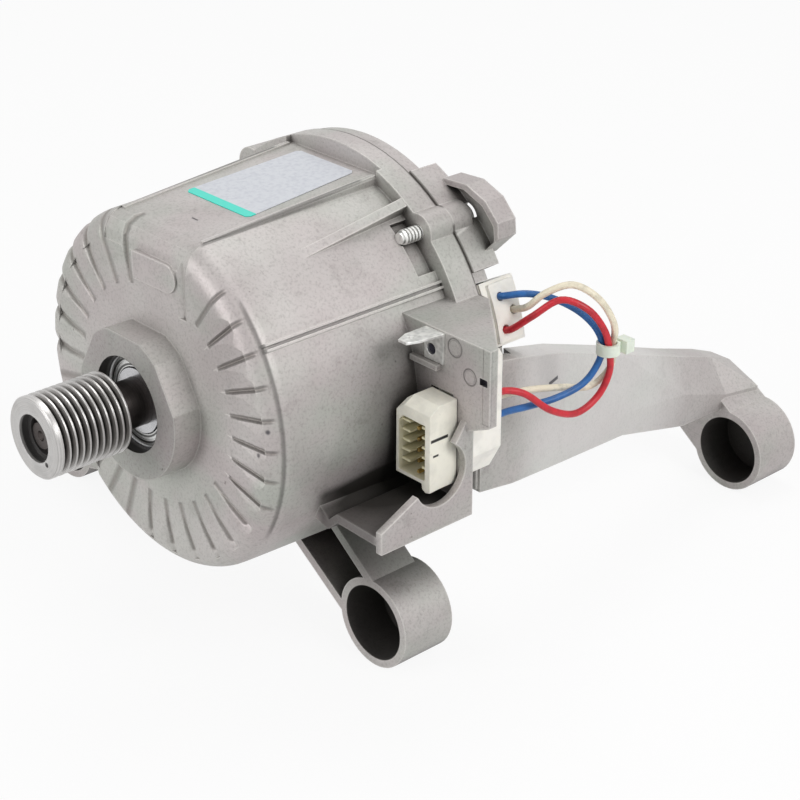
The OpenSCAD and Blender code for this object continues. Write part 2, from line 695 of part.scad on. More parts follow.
groove_first = -groove_pitch * (groove_count - 1) / 2 + 0.6;
ridge_flat = 0.25;
module pulley() color("#a7a9ab") spin_y() difference() {
    polygon([[shaft_pulley_r + fit, -pulley_half], [pulley_r - 0.6, -pulley_half],
        [pulley_r, -pulley_half + 0.6], [pulley_r, pulley_half - 0.4], [pulley_r - 0.4, pulley_half],
        [shaft_pulley_r + fit, pulley_half]]);
    for (i = [0:groove_count - 1]) translate([pulley_r, groove_first + i * groove_pitch])
        polygon([[0.5, -groove_pitch / 2 + ridge_flat - 0.15], [-groove_depth, -0.2], [-groove_depth, 0.2],
            [0.5, groove_pitch / 2 - ridge_flat + 0.15]]);
    translate([0, -pulley_half - 1]) square([pulley_recess_r, pulley_recess_depth + 1]);
}

/* Ball bearings */
land = 0.72;
module race_outer(bore, outer, width) {
    mid = (bore + outer) / 2;
    spin_y() difference() {
        translate([mid + land * ball_r, 0]) square([outer - mid - land * ball_r, width]);
        translate([mid, width / 2]) circle(ball_r + ball_gap);
    }
}

module race_inner(bore, outer, width) {
    mid = (bore + outer) / 2;
    spin_y() difference() {
        translate([bore, 0]) square([mid - land * ball_r - bore, width]);
        translate([mid, width / 2]) circle(ball_r + ball_gap);
    }
}

module balls(bore, outer, width) for (i = [0:ball_count - 1]) rotate([0, i * 360 / ball_count, 0])
    translate([(bore + outer) / 2, width / 2, 0]) sphere(ball_r);

cage_half_t = 0.8;
cage_half_w = 3.6;
module cage(bore, outer, width) difference() {
    ring_y(width / 2 - cage_half_w, 2 * cage_half_w, (bore + outer) / 2 + cage_half_t,
        (bore + outer) / 2 - cage_half_t);
    for (i = [0:ball_count - 1]) rotate([0, i * 360 / ball_count, 0])
        translate([(bore + outer) / 2, width / 2, 0]) rotate([0, 90, 0])
            cylinder(r = ball_r + ball_gap / 2, h = 4 * cage_half_t, center = true);
}

seal_t = 0.6;
module seals(bore, outer, width) {
    mid = (bore + outer) / 2;
    for (y = [0.35, width - 0.35 - seal_t])
        ring_y(y, seal_t, mid + land * ball_r, mid - land * ball_r + 0.35);
}

module front_bearing_outer() color("#b4b6b8") translate([0, front_seat_y, 0])
    race_outer(front_bore_r, front_outer_r, front_width);

module front_bearing_inner() color("#d4d6d8") translate([0, front_seat_y, 0])
    race_inner(front_bore_r, front_outer_r, front_width);

module front_bearing_balls() color("#e0e2e4") translate([0, front_seat_y, 0])
    balls(front_bore_r, front_outer_r, front_width);

module front_bearing_cage() color("#8a8c8e") translate([0, front_seat_y, 0])
    cage(front_bore_r, front_outer_r, front_width);

module front_bearing_shields() color("#c2c4c6") translate([0, front_seat_y, 0])
    seals(front_bore_r, front_outer_r, front_width);

module rear_bearing_outer() color("#b4b6b8") translate([0, rear_seat_y, 0])
    race_outer(rear_bore_r, rear_outer_r, rear_width);

module rear_bearing_inner() color("#d4d6d8") translate([0, rear_seat_y, 0])
    race_inner(rear_bore_r, rear_outer_r, rear_width);

module rear_bearing_balls() color("#e0e2e4") translate([0, rear_seat_y, 0])
    balls(rear_bore_r, rear_outer_r, rear_width);

module rear_bearing_cage() color("#8a8c8e") translate([0, rear_seat_y, 0])
    cage(rear_bore_r, rear_outer_r, rear_width);

module rear_bearing_shields() color("#c2c4c6") translate([0, rear_seat_y, 0])
    seals(rear_bore_r, rear_outer_r, rear_width);

module bearing_circlip() color("#55585a") along_y(circlip_y + fit, circlip_t - 2 * fit) difference() {
    circle(front_outer_r + circlip_groove - 0.1);
    circle(front_outer_r - 1.6);
    translate([-3, -30]) square([6, 30]);
}

// The wave washer preloads the rear bearing: three waves around a thin ring
wave_t = 0.45;
wave_n = 36;
function wave_y(i) = rear_back_y + fit
    + (washer_t - 2 * fit - wave_t) * (0.5 + 0.5 * cos(i * 1080 / wave_n));
module wave_washer() color("#9a9da0") {
    r0 = rear_outer_r - 3.4;
    r1 = rear_outer_r - 0.5;
    points = [for (i = [0:wave_n - 1])
        let (c = cos(i * 360 / wave_n), s = sin(i * 360 / wave_n), y = wave_y(i), z = y + wave_t)
        each [[r0 * c, y, r0 * s], [r1 * c, y, r1 * s], [r1 * c, z, r1 * s], [r0 * c, z, r0 * s]]];
    faces = [for (i = [0:wave_n - 1]) let (a = 4 * i, b = 4 * ((i + 1) % wave_n))
        for (j = [0:3]) let (k = (j + 1) % 4) each [[a + j, a + k, b + k], [a + j, b + k, b + j]]];
    polyhedron(points, faces);
}

/* Terminal block */
block_in_r = cavity_r + fit;
block_out_r = flange_r + 1;
gasket_t = 1;
block_y = seam_y + gasket_t;
block_len = 14;
wire_r = wire_d / 2;
wire_slack = 0.3;
socket_depth = 2;
// Angles at which the wires leave the block, and how far behind its front: blue, red, white
exit_a = [23.5, 14.5, 19];
exit_len = [6, 5.5, 10];
pin_y = block_y + 4;
pin_t = 0.8;
pin_reach = 5;
pin_out_r = block_in_r + pin_reach;
pin_in_r = cavity_r - 2;
module terminal_block() color("#f1efe8") difference() {
    union() {
        sector(block_a0, block_a1, block_in_r, block_out_r - 1.2, block_y, block_len);
        sector(block_a0 + 1, block_a1 - 1, block_in_r + 2, block_out_r,
            block_y + 2.4, block_len - 3.6);
    }
    for (i = [0:2]) at_angle(exit_a[i]) translate([block_out_r - socket_depth, block_y + exit_len[i], 0])
        rotate([0, 90, 0]) cylinder(r = wire_r + wire_slack, h = 2 * socket_depth);
    for (a = exit_a) sector(a - 1.4, a + 1.4, block_in_r - 1, pin_out_r, pin_y, pin_t);
}

module terminal_gasket() color("#b9b6ae")
    sector(block_a0, block_a1, block_in_r, block_out_r - 1.6, seam_y, gasket_t);

module terminal_pins() color("#c9a24c") for (a = exit_a)
    sector(a - 1.3, a + 1.3, pin_in_r, pin_out_r, pin_y, pin_t);

/* Connector */
conn_front_y = plate_y - conn_len;
conn_right_x = conn_x + conn_w;
conn_depth = 10;
pin_pitch = (conn_h - 2 * conn_wall - 1.2) / contact_count;
fin_t = 0.9;
back_gap = 2.5;
back_len = flange_y - plate_back_y - back_gap;
back_right_x = tray_right_x;
back_top_z = plate_top_z - 7;
module connector_housing() color("#efe9d6") difference() {
    union() {
        along_y(conn_front_y, conn_len - fit) polygon([[conn_x, conn_z + 1.5], [conn_x + 1.5, conn_z],
            [conn_right_x, conn_z], [conn_right_x, conn_top_z], [conn_x + 3.5, conn_top_z],
            [conn_x, conn_top_z - 3.5]]);
        translate([conn_x + 1.1, plate_y - 1, conn_z + 1.1])
            cube([conn_w - 2.2, plate_t + 1 - fit, conn_h - 2.2]);
    }
    difference() {
        along_y(conn_front_y - 1, conn_depth + 1) polygon([[conn_x + conn_wall, conn_z + 2],
            [conn_right_x - conn_wall, conn_z + 2], [conn_right_x - conn_wall, conn_top_z - 3.4],
            [conn_x + 3.2, conn_top_z - 3.4], [conn_x + conn_wall, conn_top_z - 5.4]]);
        for (i = [1:contact_count - 1]) translate([0, conn_front_y + 1, conn_z + conn_wall + i * pin_pitch])
            for (x = [conn_x, conn_right_x - fin_w]) translate([x, 0, 0])
                cube([fin_w, conn_depth + 1, fin_t]);
    }
    for (i = [0:contact_count - 1]) pin_channel(i, 0, 30, 0);
    for (m = latch_slots) translate([conn_right_x - conn_wall / 2, conn_front_y + m[0], conn_top_z - m[1]])
        rotate([8, 0, 0]) cube([conn_wall, m[2], m[3]]);
}

// Slots in the right side: how far behind the front, how far below the top, length and height
latch_slots = [[2, 8.4, 8, 1.1], [3.4, 12.4, 3.4, 0.8]];
fin_w = 3.3;
pin_half = 0.5;
module pin_channel(i, from, len, gap) translate([conn_x + conn_w / 2 - pin_half + gap,
    conn_front_y + from, conn_z + conn_wall + (i + 0.6) * pin_pitch + gap])
    cube([2 * (pin_half - gap), len, 2 * (pin_half - gap)]);

back_y = plate_back_y + back_len;
// Where the wires enter the back: X, and Z below the connector's top: blue, red, white
entry = [[77, 8.7], [77.5, 1.1], [73.8, 4.5]];
module connector_back() color("#f3f0e6") difference() {
    along_y(plate_back_y, back_len) polygon([[conn_x + 0.6, conn_z], [conn_right_x, conn_z],
        [back_right_x, conn_z + 8.4], [back_right_x, back_top_z - 1.5], [back_right_x - 1.5, back_top_z],
        [conn_x + 4, back_top_z], [conn_x + 0.6, back_top_z - 3.5]]);
    for (p = entry) translate([p[0], 0, conn_top_z - p[1]])
        along_y(back_y - socket_depth, 2 * socket_depth) circle(wire_r + wire_slack);
}

pin_start = 3;
module connector_pins() color("#c9a24c") for (i = [0:contact_count - 1])
    pin_channel(i, pin_start, plate_back_y - conn_front_y - pin_start - 0.1, fit);

/* Earth tab */
tab_x = 62.6;
tab_w = 8;
tab_t = 0.8;
module earth_tab() color("#c3c5c4") {
    difference() {
        translate([tab_x, plate_y - tab_t, 17.6]) cube([tab_w, tab_t, plate_top_z - 17.6 - 0.6]);
        translate([tab_x + 3, 0, 21.2]) along_y(plate_y - 2, 4) circle(1.8);
    }
    translate([0, 0, plate_top_z - 0.6 - tab_t]) difference() {
        linear_extrude(tab_t) polygon([[tab_x, plate_y], [tab_x, plate_y - 8.6],
            [tab_x + 1.6, plate_y - 12.6], [tab_x + 5, plate_y - 12.6], [tab_x + 6.6, plate_y - 8.6],
            [tab_x + tab_w, plate_y]]);
        translate([tab_x + 3.3, plate_y - 9, -1]) cylinder(r = 0.8, h = 3);
    }
}

/* Wires: swept tubes along points chosen by hand, from the terminal block to the connector's back */
function leave(i, d) = [(block_out_r - socket_depth + d) * cos(exit_a[i]), block_y + exit_len[i],
    (block_out_r - socket_depth + d) * sin(exit_a[i])];
function enter(i, d) = [entry[i][0], back_y - socket_depth + d, conn_top_z - entry[i][1]];
blue_route = [leave(0, 0), leave(0, 4), [66.4, 122.8, 27.6], [71.3, 128.6, 26], [77, 134, 22.2],
    [82, 137, 17.2], [84.2, 138, 11.3], [83.9, 135.8, 5], [82.8, 130.6, 0.2], [80.6, 122, -2.2],
    [78.4, 112.5, -2.6], enter(0, 7), enter(0, 0)];
red_route = [leave(1, 0), leave(1, 4), [71, 120.5, 22.3], [77.4, 125.8, 28.2], [83.4, 131.2, 25.6],
    [86.2, 135.9, 18.6], [86.7, 138.4, 11], [86.4, 139.2, 3], [85.4, 135.4, -4.4], [84.8, 126.5, -7.4],
    [83.6, 116.5, -3.4], [80.2, 109, 3.2], enter(1, 6), enter(1, 0)];
white_route = [leave(2, 0), leave(2, 4), [67.8, 122, 24.2], [72.6, 124.6, 29.4], [79, 129.4, 32.6],
    [85.2, 134.4, 28.4], [87.6, 139, 19.5], [85.9, 140.7, 11], [84.8, 141.2, 3.5], [81.8, 136, -2.2],
    [79, 126.5, -0.6], [76.2, 115.5, 1.2], enter(2, 7), enter(2, 0)];

function unit(v) = v / norm(v);
function spline(p, s) = let (n = len(p) - 1, k = min(floor(s * n), n - 1), t = s * n - k,
    a = p[max(k - 1, 0)], b = p[k], c = p[k + 1], d = p[min(k + 2, n)])
    0.5 * (2 * b + (c - a) * t + (2 * a - 5 * b + 4 * c - d) * t * t + (3 * b - a - 3 * c + d) * t * t * t);
wire_rings = 25;
module tube(route) {
    last = len(route) - 1;
    path = [for (i = [0:wire_rings]) spline(route, i / wire_rings)];
    way = [for (i = [0:wire_rings]) unit(i == 0 ? route[1] - route[0]
        : i == wire_rings ? route[last] - route[last - 1] : path[i + 1] - path[i - 1])];
    points = [for (i = [0:wire_rings])
        let (side = unit(cross(way[i], [0.2, 1, 0.3])), up = cross(way[i], side))
        for (j = [0:7]) path[i] + wire_r * (cos(j * 45) * side + sin(j * 45) * up)];
    polyhedron(points, loft_faces(wire_rings + 1, 8));
}

module wire_blue() color("#1f5fa0") tube(blue_route);

module wire_red() color("#c4202c") tube(red_route);

module wire_white() color("#e9e3cf") tube(white_route);

tie_at = [85.6, 139.05, 11.1];
tie_r = 2.75;
tie_t = 1;
tie_w = 3.6;
module cable_tie() color("#cfe0cf") translate(tie_at) {
    difference() {
        cylinder(r = tie_r + tie_t, h = tie_w, center = true);
        cylinder(r = tie_r, h = 2 * tie_w, center = true);
    }
    translate([0, tie_r + tie_t / 2, -tie_w / 2]) cube([4.6, 3.6, tie_w + 0.6]);
}

motor_housing();
rear_cover();
cover_screws();
stator_core();
insulator_front();
insulator_rear();
stator_coils();
rotor_core();
rotor_magnets();
rotor_end_plates();
shaft();
pulley();
front_bearing_outer();
front_bearing_inner();
front_bearing_balls();
front_bearing_cage();
front_bearing_shields();
rear_bearing_outer();
rear_bearing_inner();
rear_bearing_balls();
rear_bearing_cage();
rear_bearing_shields();
bearing_circlip();
wave_washer();
terminal_block();
terminal_gasket();
terminal_pins();
connector_housing();
connector_back();
connector_pins();
earth_tab();
wire_blue();
wire_red();
wire_white();
cable_tie();
rating_label();
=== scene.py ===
# %% [markdown]
# # Dressing a washing machine motor
# The shapes of this motor come from a CAD model: a die-cast housing with three feet, a grooved
# pulley on a shaft, a white connector and three wires. Blender's part of the work is how it
# looks. These cells load the shapes, place a camera, give every piece the finish of the real one,
# from the grain of the casting to the stripe on the label, and light it all with three lamps.

# %% Load the CAD model
import math

import bpy
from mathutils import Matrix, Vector


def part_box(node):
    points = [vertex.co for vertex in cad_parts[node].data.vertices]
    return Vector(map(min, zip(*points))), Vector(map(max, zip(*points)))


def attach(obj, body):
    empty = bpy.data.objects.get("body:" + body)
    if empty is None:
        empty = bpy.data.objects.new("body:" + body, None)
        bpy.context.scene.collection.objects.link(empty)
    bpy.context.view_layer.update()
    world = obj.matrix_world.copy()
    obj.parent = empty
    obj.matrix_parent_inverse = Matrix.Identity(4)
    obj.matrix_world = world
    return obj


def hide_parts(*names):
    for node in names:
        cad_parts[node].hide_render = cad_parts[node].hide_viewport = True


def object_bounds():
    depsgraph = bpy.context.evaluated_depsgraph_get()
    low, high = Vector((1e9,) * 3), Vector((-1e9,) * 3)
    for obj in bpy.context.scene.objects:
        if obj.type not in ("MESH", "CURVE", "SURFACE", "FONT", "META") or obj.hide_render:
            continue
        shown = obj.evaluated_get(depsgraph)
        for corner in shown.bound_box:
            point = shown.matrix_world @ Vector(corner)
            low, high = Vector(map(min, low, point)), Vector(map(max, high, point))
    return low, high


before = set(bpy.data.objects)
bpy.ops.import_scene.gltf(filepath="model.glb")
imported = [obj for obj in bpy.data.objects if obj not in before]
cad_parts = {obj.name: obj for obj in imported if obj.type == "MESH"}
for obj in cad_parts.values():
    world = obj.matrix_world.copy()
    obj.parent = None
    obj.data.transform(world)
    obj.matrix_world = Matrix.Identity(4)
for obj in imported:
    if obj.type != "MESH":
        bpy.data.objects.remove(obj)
cad_box = [list(corner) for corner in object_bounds()]
print(len(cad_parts), "pieces, box in metres:", cad_box)

# %% [markdown]
# ## The camera
# A product photograph is taken from well back with a long lens, so that the feet behind the
# motor don't shrink. The lens here is 92 mm, half a metre and more away, and looks down on the
# front right of the motor. Turning the camera by a direction, and not by three angles, keeps it
# free of roll.

# %% Place the camera
CAMERA_AT, LOOKS_ALONG = (0.463, -0.290, 0.275), (-0.6630, 0.6028, -0.4446)
FOCAL_LENGTH, SENSOR_WIDTH = 92.25, 36  # millimetres


def long_lens(place, direction):
    lens = bpy.data.cameras.new("long_lens")
    lens.lens = FOCAL_LENGTH
    lens.sensor_width = SENSOR_WIDTH
    lens.clip_start = 0.01
    camera = bpy.data.objects.new("long_lens", lens)
    camera.location = place
    camera.rotation_mode = "QUATERNION"
    camera.rotation_quaternion = Vector(direction).to_track_quat("-Z", "Y")
    bpy.context.scene.collection.objects.link(camera)
    return camera


camera = long_lens(CAMERA_AT, LOOKS_ALONG)
bpy.context.scene.camera = camera
print("camera at", tuple(camera.location))

# %% [markdown]
# ## Shader maths as plain Python
# A procedural finish is a small calculation that is done again at each point of a surface. In
# the node editor it becomes a web of Math nodes, which is slow to read. Here one class wraps a
# socket, so that `1 - mask * 0.3` adds the two nodes by itself.

# %% A socket that can be used in sums
class Shade:
    """One number, vector or colour that changes over a surface."""

    def __init__(self, finish, socket):
        self.finish, self.socket = finish, socket

    def maths(self, operation, *terms):
        return self.finish.node("Math", {"operation": operation}, dict(enumerate(terms)))

    def __add__(self, other):
        return self.maths("ADD", self, other)

    def __radd__(self, other):
        return self.maths("ADD", other, self)

    def __sub__(self, other):
        return self.maths("SUBTRACT", self, other)

    def __rsub__(self, other):
        return self.maths("SUBTRACT", other, self)

    def __mul__(self, other):
        return self.maths("MULTIPLY", self, other)

    def __rmul__(self, other):
        return self.maths("MULTIPLY", other, self)

    def __truediv__(self, other):
        return self.maths("DIVIDE", self, other)

    def __pow__(self, other):
        return self.maths("POWER", self, other)

    def __abs__(self):
        return self.maths("ABSOLUTE", self)

    def ramp(self, low, high):
        """0 below low, 1 above high, and a smooth step between them; low may be the larger."""
        return self.finish.node("MapRange", {"interpolation_type": "SMOOTHSTEP"},
                                {"Value": self, "From Min": low, "From Max": high})


print("operators ready:", [name for name in vars(Shade) if name.startswith("__")][1:])

# %% [markdown]
# ## One way to make any node
# Every other node comes from one method, in three steps: its type, then its settings, and then
# what goes into its sockets, which is either a plain value or a link from another node. The
# settings come first, because they decide which sockets a node has. Colours are mixed by a Mix
# node, since a Math node would turn them grey. The same class serves materials and the world.

# %% A web of nodes
class Web:
    """A tree of nodes, which sums and other nodes are added to."""

    def __init__(self, tree):
        self.tree = tree

    def feed(self, socket, value):
        if isinstance(value, Shade):
            self.tree.links.new(value.socket, socket)
        else:
            socket.default_value = value

    def node(self, kind, settings=None, values=None, out=0):
        made = self.tree.nodes.new("ShaderNode" + kind)
        for name, value in (settings or {}).items():
            setattr(made, name, value)
        for name, value in (values or {}).items():
            self.feed(made.inputs[name], value)
        return Shade(self, made.outputs[out])

    def mix(self, first, second, share):
        return self.node("Mix", {"data_type": "RGBA"}, {0: share, 6: first, 7: second}, out=2)


print("a web feeds, makes and mixes:", [name for name in vars(Web) if name[0] != "_"])

# %% [markdown]
# ## A material to start from
# Each finish begins with one Principled shader and the place of a point on its own object. A
# place on the object travels with it, so a mark stays on the rotor when the rotor turns. Noise,
# a stretched place, and the three things that vary most, colour, roughness and bump, get a short
# name each.

# %% A finish
class Finish(Web):
    """A material that starts as one Principled shader and the place on its object."""

    def __init__(self, name, **fixed):
        self.material = bpy.data.materials.new(name)
        self.material.use_nodes = True
        super().__init__(self.material.node_tree)
        self.shader = self.tree.nodes["Principled BSDF"]
        self.place = self.node("TexCoord", out="Object")
        self.x, self.y, self.z = (
            self.node("SeparateXYZ", None, {"Vector": self.place}, out=axis) for axis in "XYZ")
        for socket, value in fixed.items():
            self.feed(self.shader.inputs[socket.replace("_", " ")], value)

    def noise(self, size, detail=3, roughness=0.55, at=None):
        """Cloudy noise from 0 to 1 whose blobs are about size metres across."""
        return self.node("TexNoise", None, {"Vector": at or self.place, "Scale": 1 / size,
                                            "Detail": detail, "Roughness": roughness})

    def stretched(self, x, y, z):
        """The place on the object, scaled along its axes."""
        return self.node("Mapping", None, {"Vector": self.place, "Scale": (x, y, z)})

    def colour(self, value):
        self.feed(self.shader.inputs["Base Color"], value)

    def rough(self, value):
        self.feed(self.shader.inputs["Roughness"], value)

    def bump(self, height, depth, rounding=0.0):
        """Raises the surface by depth metres where height is 1. Rounding softens the edges."""
        values = {"Height": height, "Distance": depth}
        if rounding:
            values["Normal"] = self.node("Bevel", {"samples": 4}, {"Radius": rounding})
        self.feed(self.shader.inputs["Normal"], self.node("Bump", None, values))


print("a finish also has:", [name for name in vars(Finish) if name[0] != "_"])

# %% [markdown]
# ## Colours as they look
# A colour read off a screen is not the number a shader wants: screens hold light in a curve
# that the eye likes, and shaders count light itself. This helper turns one into the other.

# %% Screen colours to light
def seen(red, green, blue):
    straight = [v / 12.92 if v <= 0.04045 else ((v + 0.055) / 1.055) ** 2.4
                for v in (red / 255, green / 255, blue / 255)]
    return (*straight, 1.0)


print("mid grey is", round(seen(128, 128, 128)[0], 3))

# %% [markdown]
# ## Where a mark lies
# Castings and labels carry marks at one place: a punched dot, a raised ring, a coloured stripe.
# Each is a mask that is 1 near a point, on a ring or inside a box, and 0 elsewhere. The places
# are those of the CAD model, in metres.

# %% Masks for dots, rings and boxes
def distance(finish, point, flat=None):
    """Distance from a point, or from a line through it along the axis named by flat."""
    axes = [(finish.x, point[0], "x"), (finish.y, point[1], "y"), (finish.z, point[2], "z")]
    squares = [(value - at) ** 2 for value, at, name in axes if name != flat]
    total = squares[0]
    for square in squares[1:]:
        total = total + square
    return total ** 0.5


def dot(finish, point, radius, soft=0.0002):
    return distance(finish, point).ramp(radius + soft, radius - soft)


def ring(finish, point, radius, half_width, flat):
    return abs(distance(finish, point, flat) - radius).ramp(half_width * 1.5, half_width * 0.5)


def shaft_distance(finish):
    return (finish.x ** 2 + finish.z ** 2) ** 0.5


def inside(finish, low, high, soft=0.0002):
    mask = None
    for value, a, b in zip((finish.x, finish.y, finish.z), low, high):
        both = value.ramp(a - soft, a + soft) * value.ramp(b + soft, b - soft)
        mask = both if mask is None else mask * both
    return mask


print("masks:", [mask.__name__ for mask in (dot, ring, inside)])

# %% [markdown]
# ## Rubbed edges and shaded corners
# Handling rubs the skin off every edge that sticks out, and the same edges get a painted
# highlight, while corners get painted shade. Both can be found from the shape. Where a rounded
# copy of the surface would face another way than the surface itself, there is an edge. Where few
# rays leave the surface without meeting another one close by, there is a corner, a groove or a
# bore.

# %% Edges and crevices
# Paler edges: rubbed wear and a painted highlight in one mask.
def edges(finish, radius):
    rounded = finish.node("Bevel", {"samples": 6}, {"Radius": radius})
    facing = finish.node("NewGeometry", out="Normal")
    same = finish.node("VectorMath", {"operation": "DOT_PRODUCT"},
                       {0: rounded, 1: facing}, out="Value")
    return (1 - same).ramp(0.01, 0.10)


# Painted shade: 1 where nearby surfaces hem a point in, in corners, grooves and bores.
def crevice_shade(finish, reach):
    return 1 - finish.node("AmbientOcclusion", {"samples": 8}, {"Distance": reach}, out="AO")


print("masks from the shape:", [mask.__name__ for mask in (edges, crevice_shade)])

# %% [markdown]
# ## Die-cast aluminium
# The housing and the cover come out of a steel die at high pressure. Their skin is a satin grey
# that leans to pink in some places and to green in others, where the release spray dried. Close
# up it is grainy, with a few dark pits. Noise at several sizes gives the clouds, the stains, the
# grain and the pits. Edges are painted brighter, as rubbed wear and as a painted highlight, and
# hollows get painted shade twice: a narrow reach finds the corners and a wide one the pockets
# between walls. The marks of one casting are made by a function that it is given, so the cover
# can share the recipe without them.

# %% The casting
CASTING_TONES = ((178, 170, 169), (170, 172, 165), (197, 194, 191))  # warm, cool, pale
SEAM_Y, SEAM_RADIUS = 0.111, 0.066  # where the cover meets the housing


def die_cast(name, tone, marks=None):
    metal = Finish(name, Metallic=0.42, Specular_IOR_Level=0.4)
    cloud = metal.noise(0.040, 4, 0.6).ramp(0.32, 0.68)
    tint = metal.noise(0.028, 3, 0.5, metal.stretched(1, 0.7, 1.3)).ramp(0.38, 0.66)
    grain = metal.noise(0.0009, 4, 0.75)
    pit = metal.noise(0.0036, 2, 0.5).ramp(0.235, 0.205)
    stain = metal.noise(0.011, 5, 0.7).ramp(0.56, 0.70)
    warm, cool, pale = (seen(*(c * tone for c in rgb)) for rgb in CASTING_TONES)
    body = metal.mix(metal.mix(warm, cool, tint), pale, cloud * 0.65)
    body = metal.mix(body, seen(124, 119, 115), stain * 0.26)
    body = metal.mix(body, seen(96, 91, 87), grain.ramp(0.54, 0.32) * 0.28)
    body = metal.mix(body, seen(74, 68, 64), pit * 0.35)
    seam = abs(metal.y - SEAM_Y).ramp(0.0007, 0.0002) * 0.75
    seam = seam * shaft_distance(metal).ramp(SEAM_RADIUS + 0.0005, SEAM_RADIUS - 0.0005)
    # Edges painted paler, as rubbed wear and as a painted highlight.
    body = metal.mix(body, seen(232, 229, 224), edges(metal, 0.0009) * 0.50)
    body = metal.mix(body, seen(58, 52, 47), seam)
    # Painted shade in corners, and deeper painted shade in the pockets between walls.
    body = metal.mix(body, seen(70, 64, 59), crevice_shade(metal, 0.012).ramp(0.30, 0.90) * 0.80)
    body = metal.mix(body, seen(34, 30, 27), crevice_shade(metal, 0.045).ramp(0.62, 0.97) * 0.85)
    height = grain * 0.5 + cloud * 0.4 - pit
    roughness = 0.47 + cloud * 0.10 + pit * 0.2
    if marks:
        arm_highlight, shade_and_darkening, dark, raised, groove = marks(metal)
        # Painted highlight: the rear arm painted paler.
        body = metal.mix(body, seen(236, 235, 233), arm_highlight)
        # Painted shade from the housing's marks, nearly black.
        body = metal.mix(body, seen(30, 27, 23), shade_and_darkening)
        # Dark marks: pits and a scratch, and the tab's hole and the slots painted dark as painted
        # shade.
        body = metal.mix(body, seen(30, 29, 42), dark)
        # Painted shade along the bottoms of the shield's grooves.
        body = metal.mix(body, seen(96, 88, 80), groove * 0.50)
        height = height + raised * 6 - dark * 3 - groove * 14
        roughness = roughness + shade_and_darkening * 0.2
    metal.colour(body)
    metal.rough(roughness)
    metal.bump(height, 0.00006, rounding=0.0005)
    return metal.material


print("casting tones, warm, cool and pale:", CASTING_TONES)

# %% [markdown]
# ## The flutes of the shield
# Sharp grooves fan out over the front shield and run over its rounded edge. The CAD model has
# them as soft valleys. Their crisp bottom is added here as a bump and a line of painted shade: at
# each point, the angle around the shaft says how far the nearest groove of a fan is, so one short
# sum draws a whole fan.

# %% Fans of grooves
# first and last angle in degrees, count, inner and outer end, half width
FANS = ((102, 180, 7, 0.0355, 0.0590, 0.0019), (191.7, 250, 6, 0.0355, 0.0590, 0.0019),
        (263, 328, 6, 0.0345, 0.0505, 0.0016), (-20, 52.3, 8, 0.0390, 0.0560, 0.0011))


def groove_fan(metal, first, last, count, start, end, half_width):
    step = math.radians((last - first) / (count - 1))
    from_shaft = shaft_distance(metal)
    middle = math.radians((first + last) / 2)
    along = metal.x * math.cos(middle) + metal.z * math.sin(middle)
    across = metal.z * math.cos(middle) - metal.x * math.sin(middle)
    angle = metal.node("Math", {"operation": "ARCTAN2"}, {0: across, 1: along})
    steps = angle / step + (count - 1) / 2
    off = metal.node("Math", {"operation": "PINGPONG"}, {0: steps, 1: 0.5}) * from_shaft * step
    inside_fan = steps.ramp(-0.30, -0.20) * steps.ramp(count - 0.70, count - 0.80)
    reach = from_shaft.ramp(start - 0.0003, start + 0.0006)
    reach = reach * from_shaft.ramp(end + 0.0008, end - 0.0008)
    return off.ramp(half_width, 0.0) * inside_fan * reach * metal.y.ramp(0.0390, 0.0370)


def flutes(metal):
    fans = [groove_fan(metal, *fan) for fan in FANS]
    return fans[0] + fans[1] + fans[2] + fans[3]


print("grooves on the shield:", sum(fan[2] for fan in FANS))

# %% [markdown]
# ## Painted shade and a painted highlight on the housing
# The bores of the feet are painted brown and nearly black, as painted shade. The side of the body
# beside the connector carries a painted shadow of the bracket, the floor of the tray painted
# shade, and the shoulder's crease and the platform's edges thin lines of painted shade. The long
# rear arm is painted paler than the rest, a painted highlight. The hub's face is painted a little
# darker, and the wall of its bore gets painted shade. All this could be painted on an unwrapped
# texture. But each lies at a known place, so a mask is enough, needs no unwrapping and stays
# sharp. The masks are added up into one mask of shade.

# %% Shaded, darker and lit places
FOOT_AXES, FOOT_BORE = ((0.051, -0.076), (-0.120, -0.076)), 0.0127
# The box of the bracket's painted shadow on the body, and the tray floor that gets painted shade.
SHADOWED_SIDE = ((0.036, 0.064, -0.060), (0.0612, 0.110, 0.018))
TRAY_FLOOR = ((0.052, 0.0500, -0.0345), (0.0778, 0.0845, -0.0190))
HUB_FACE_Y, HUB_BORE = 0.0205, 0.0155
SHOULDER_Y = 0.0342
PLATFORM_EDGE_X, PLATFORM_Z, PLATFORM_FRONT, PLATFORM_BACK = 0.0206, 0.051, 0.035, 0.096


def round_bore(metal, centre, radius):
    return distance(metal, (centre[0], 0, centre[1]), "y").ramp(radius + 0.0002, radius - 0.0001)


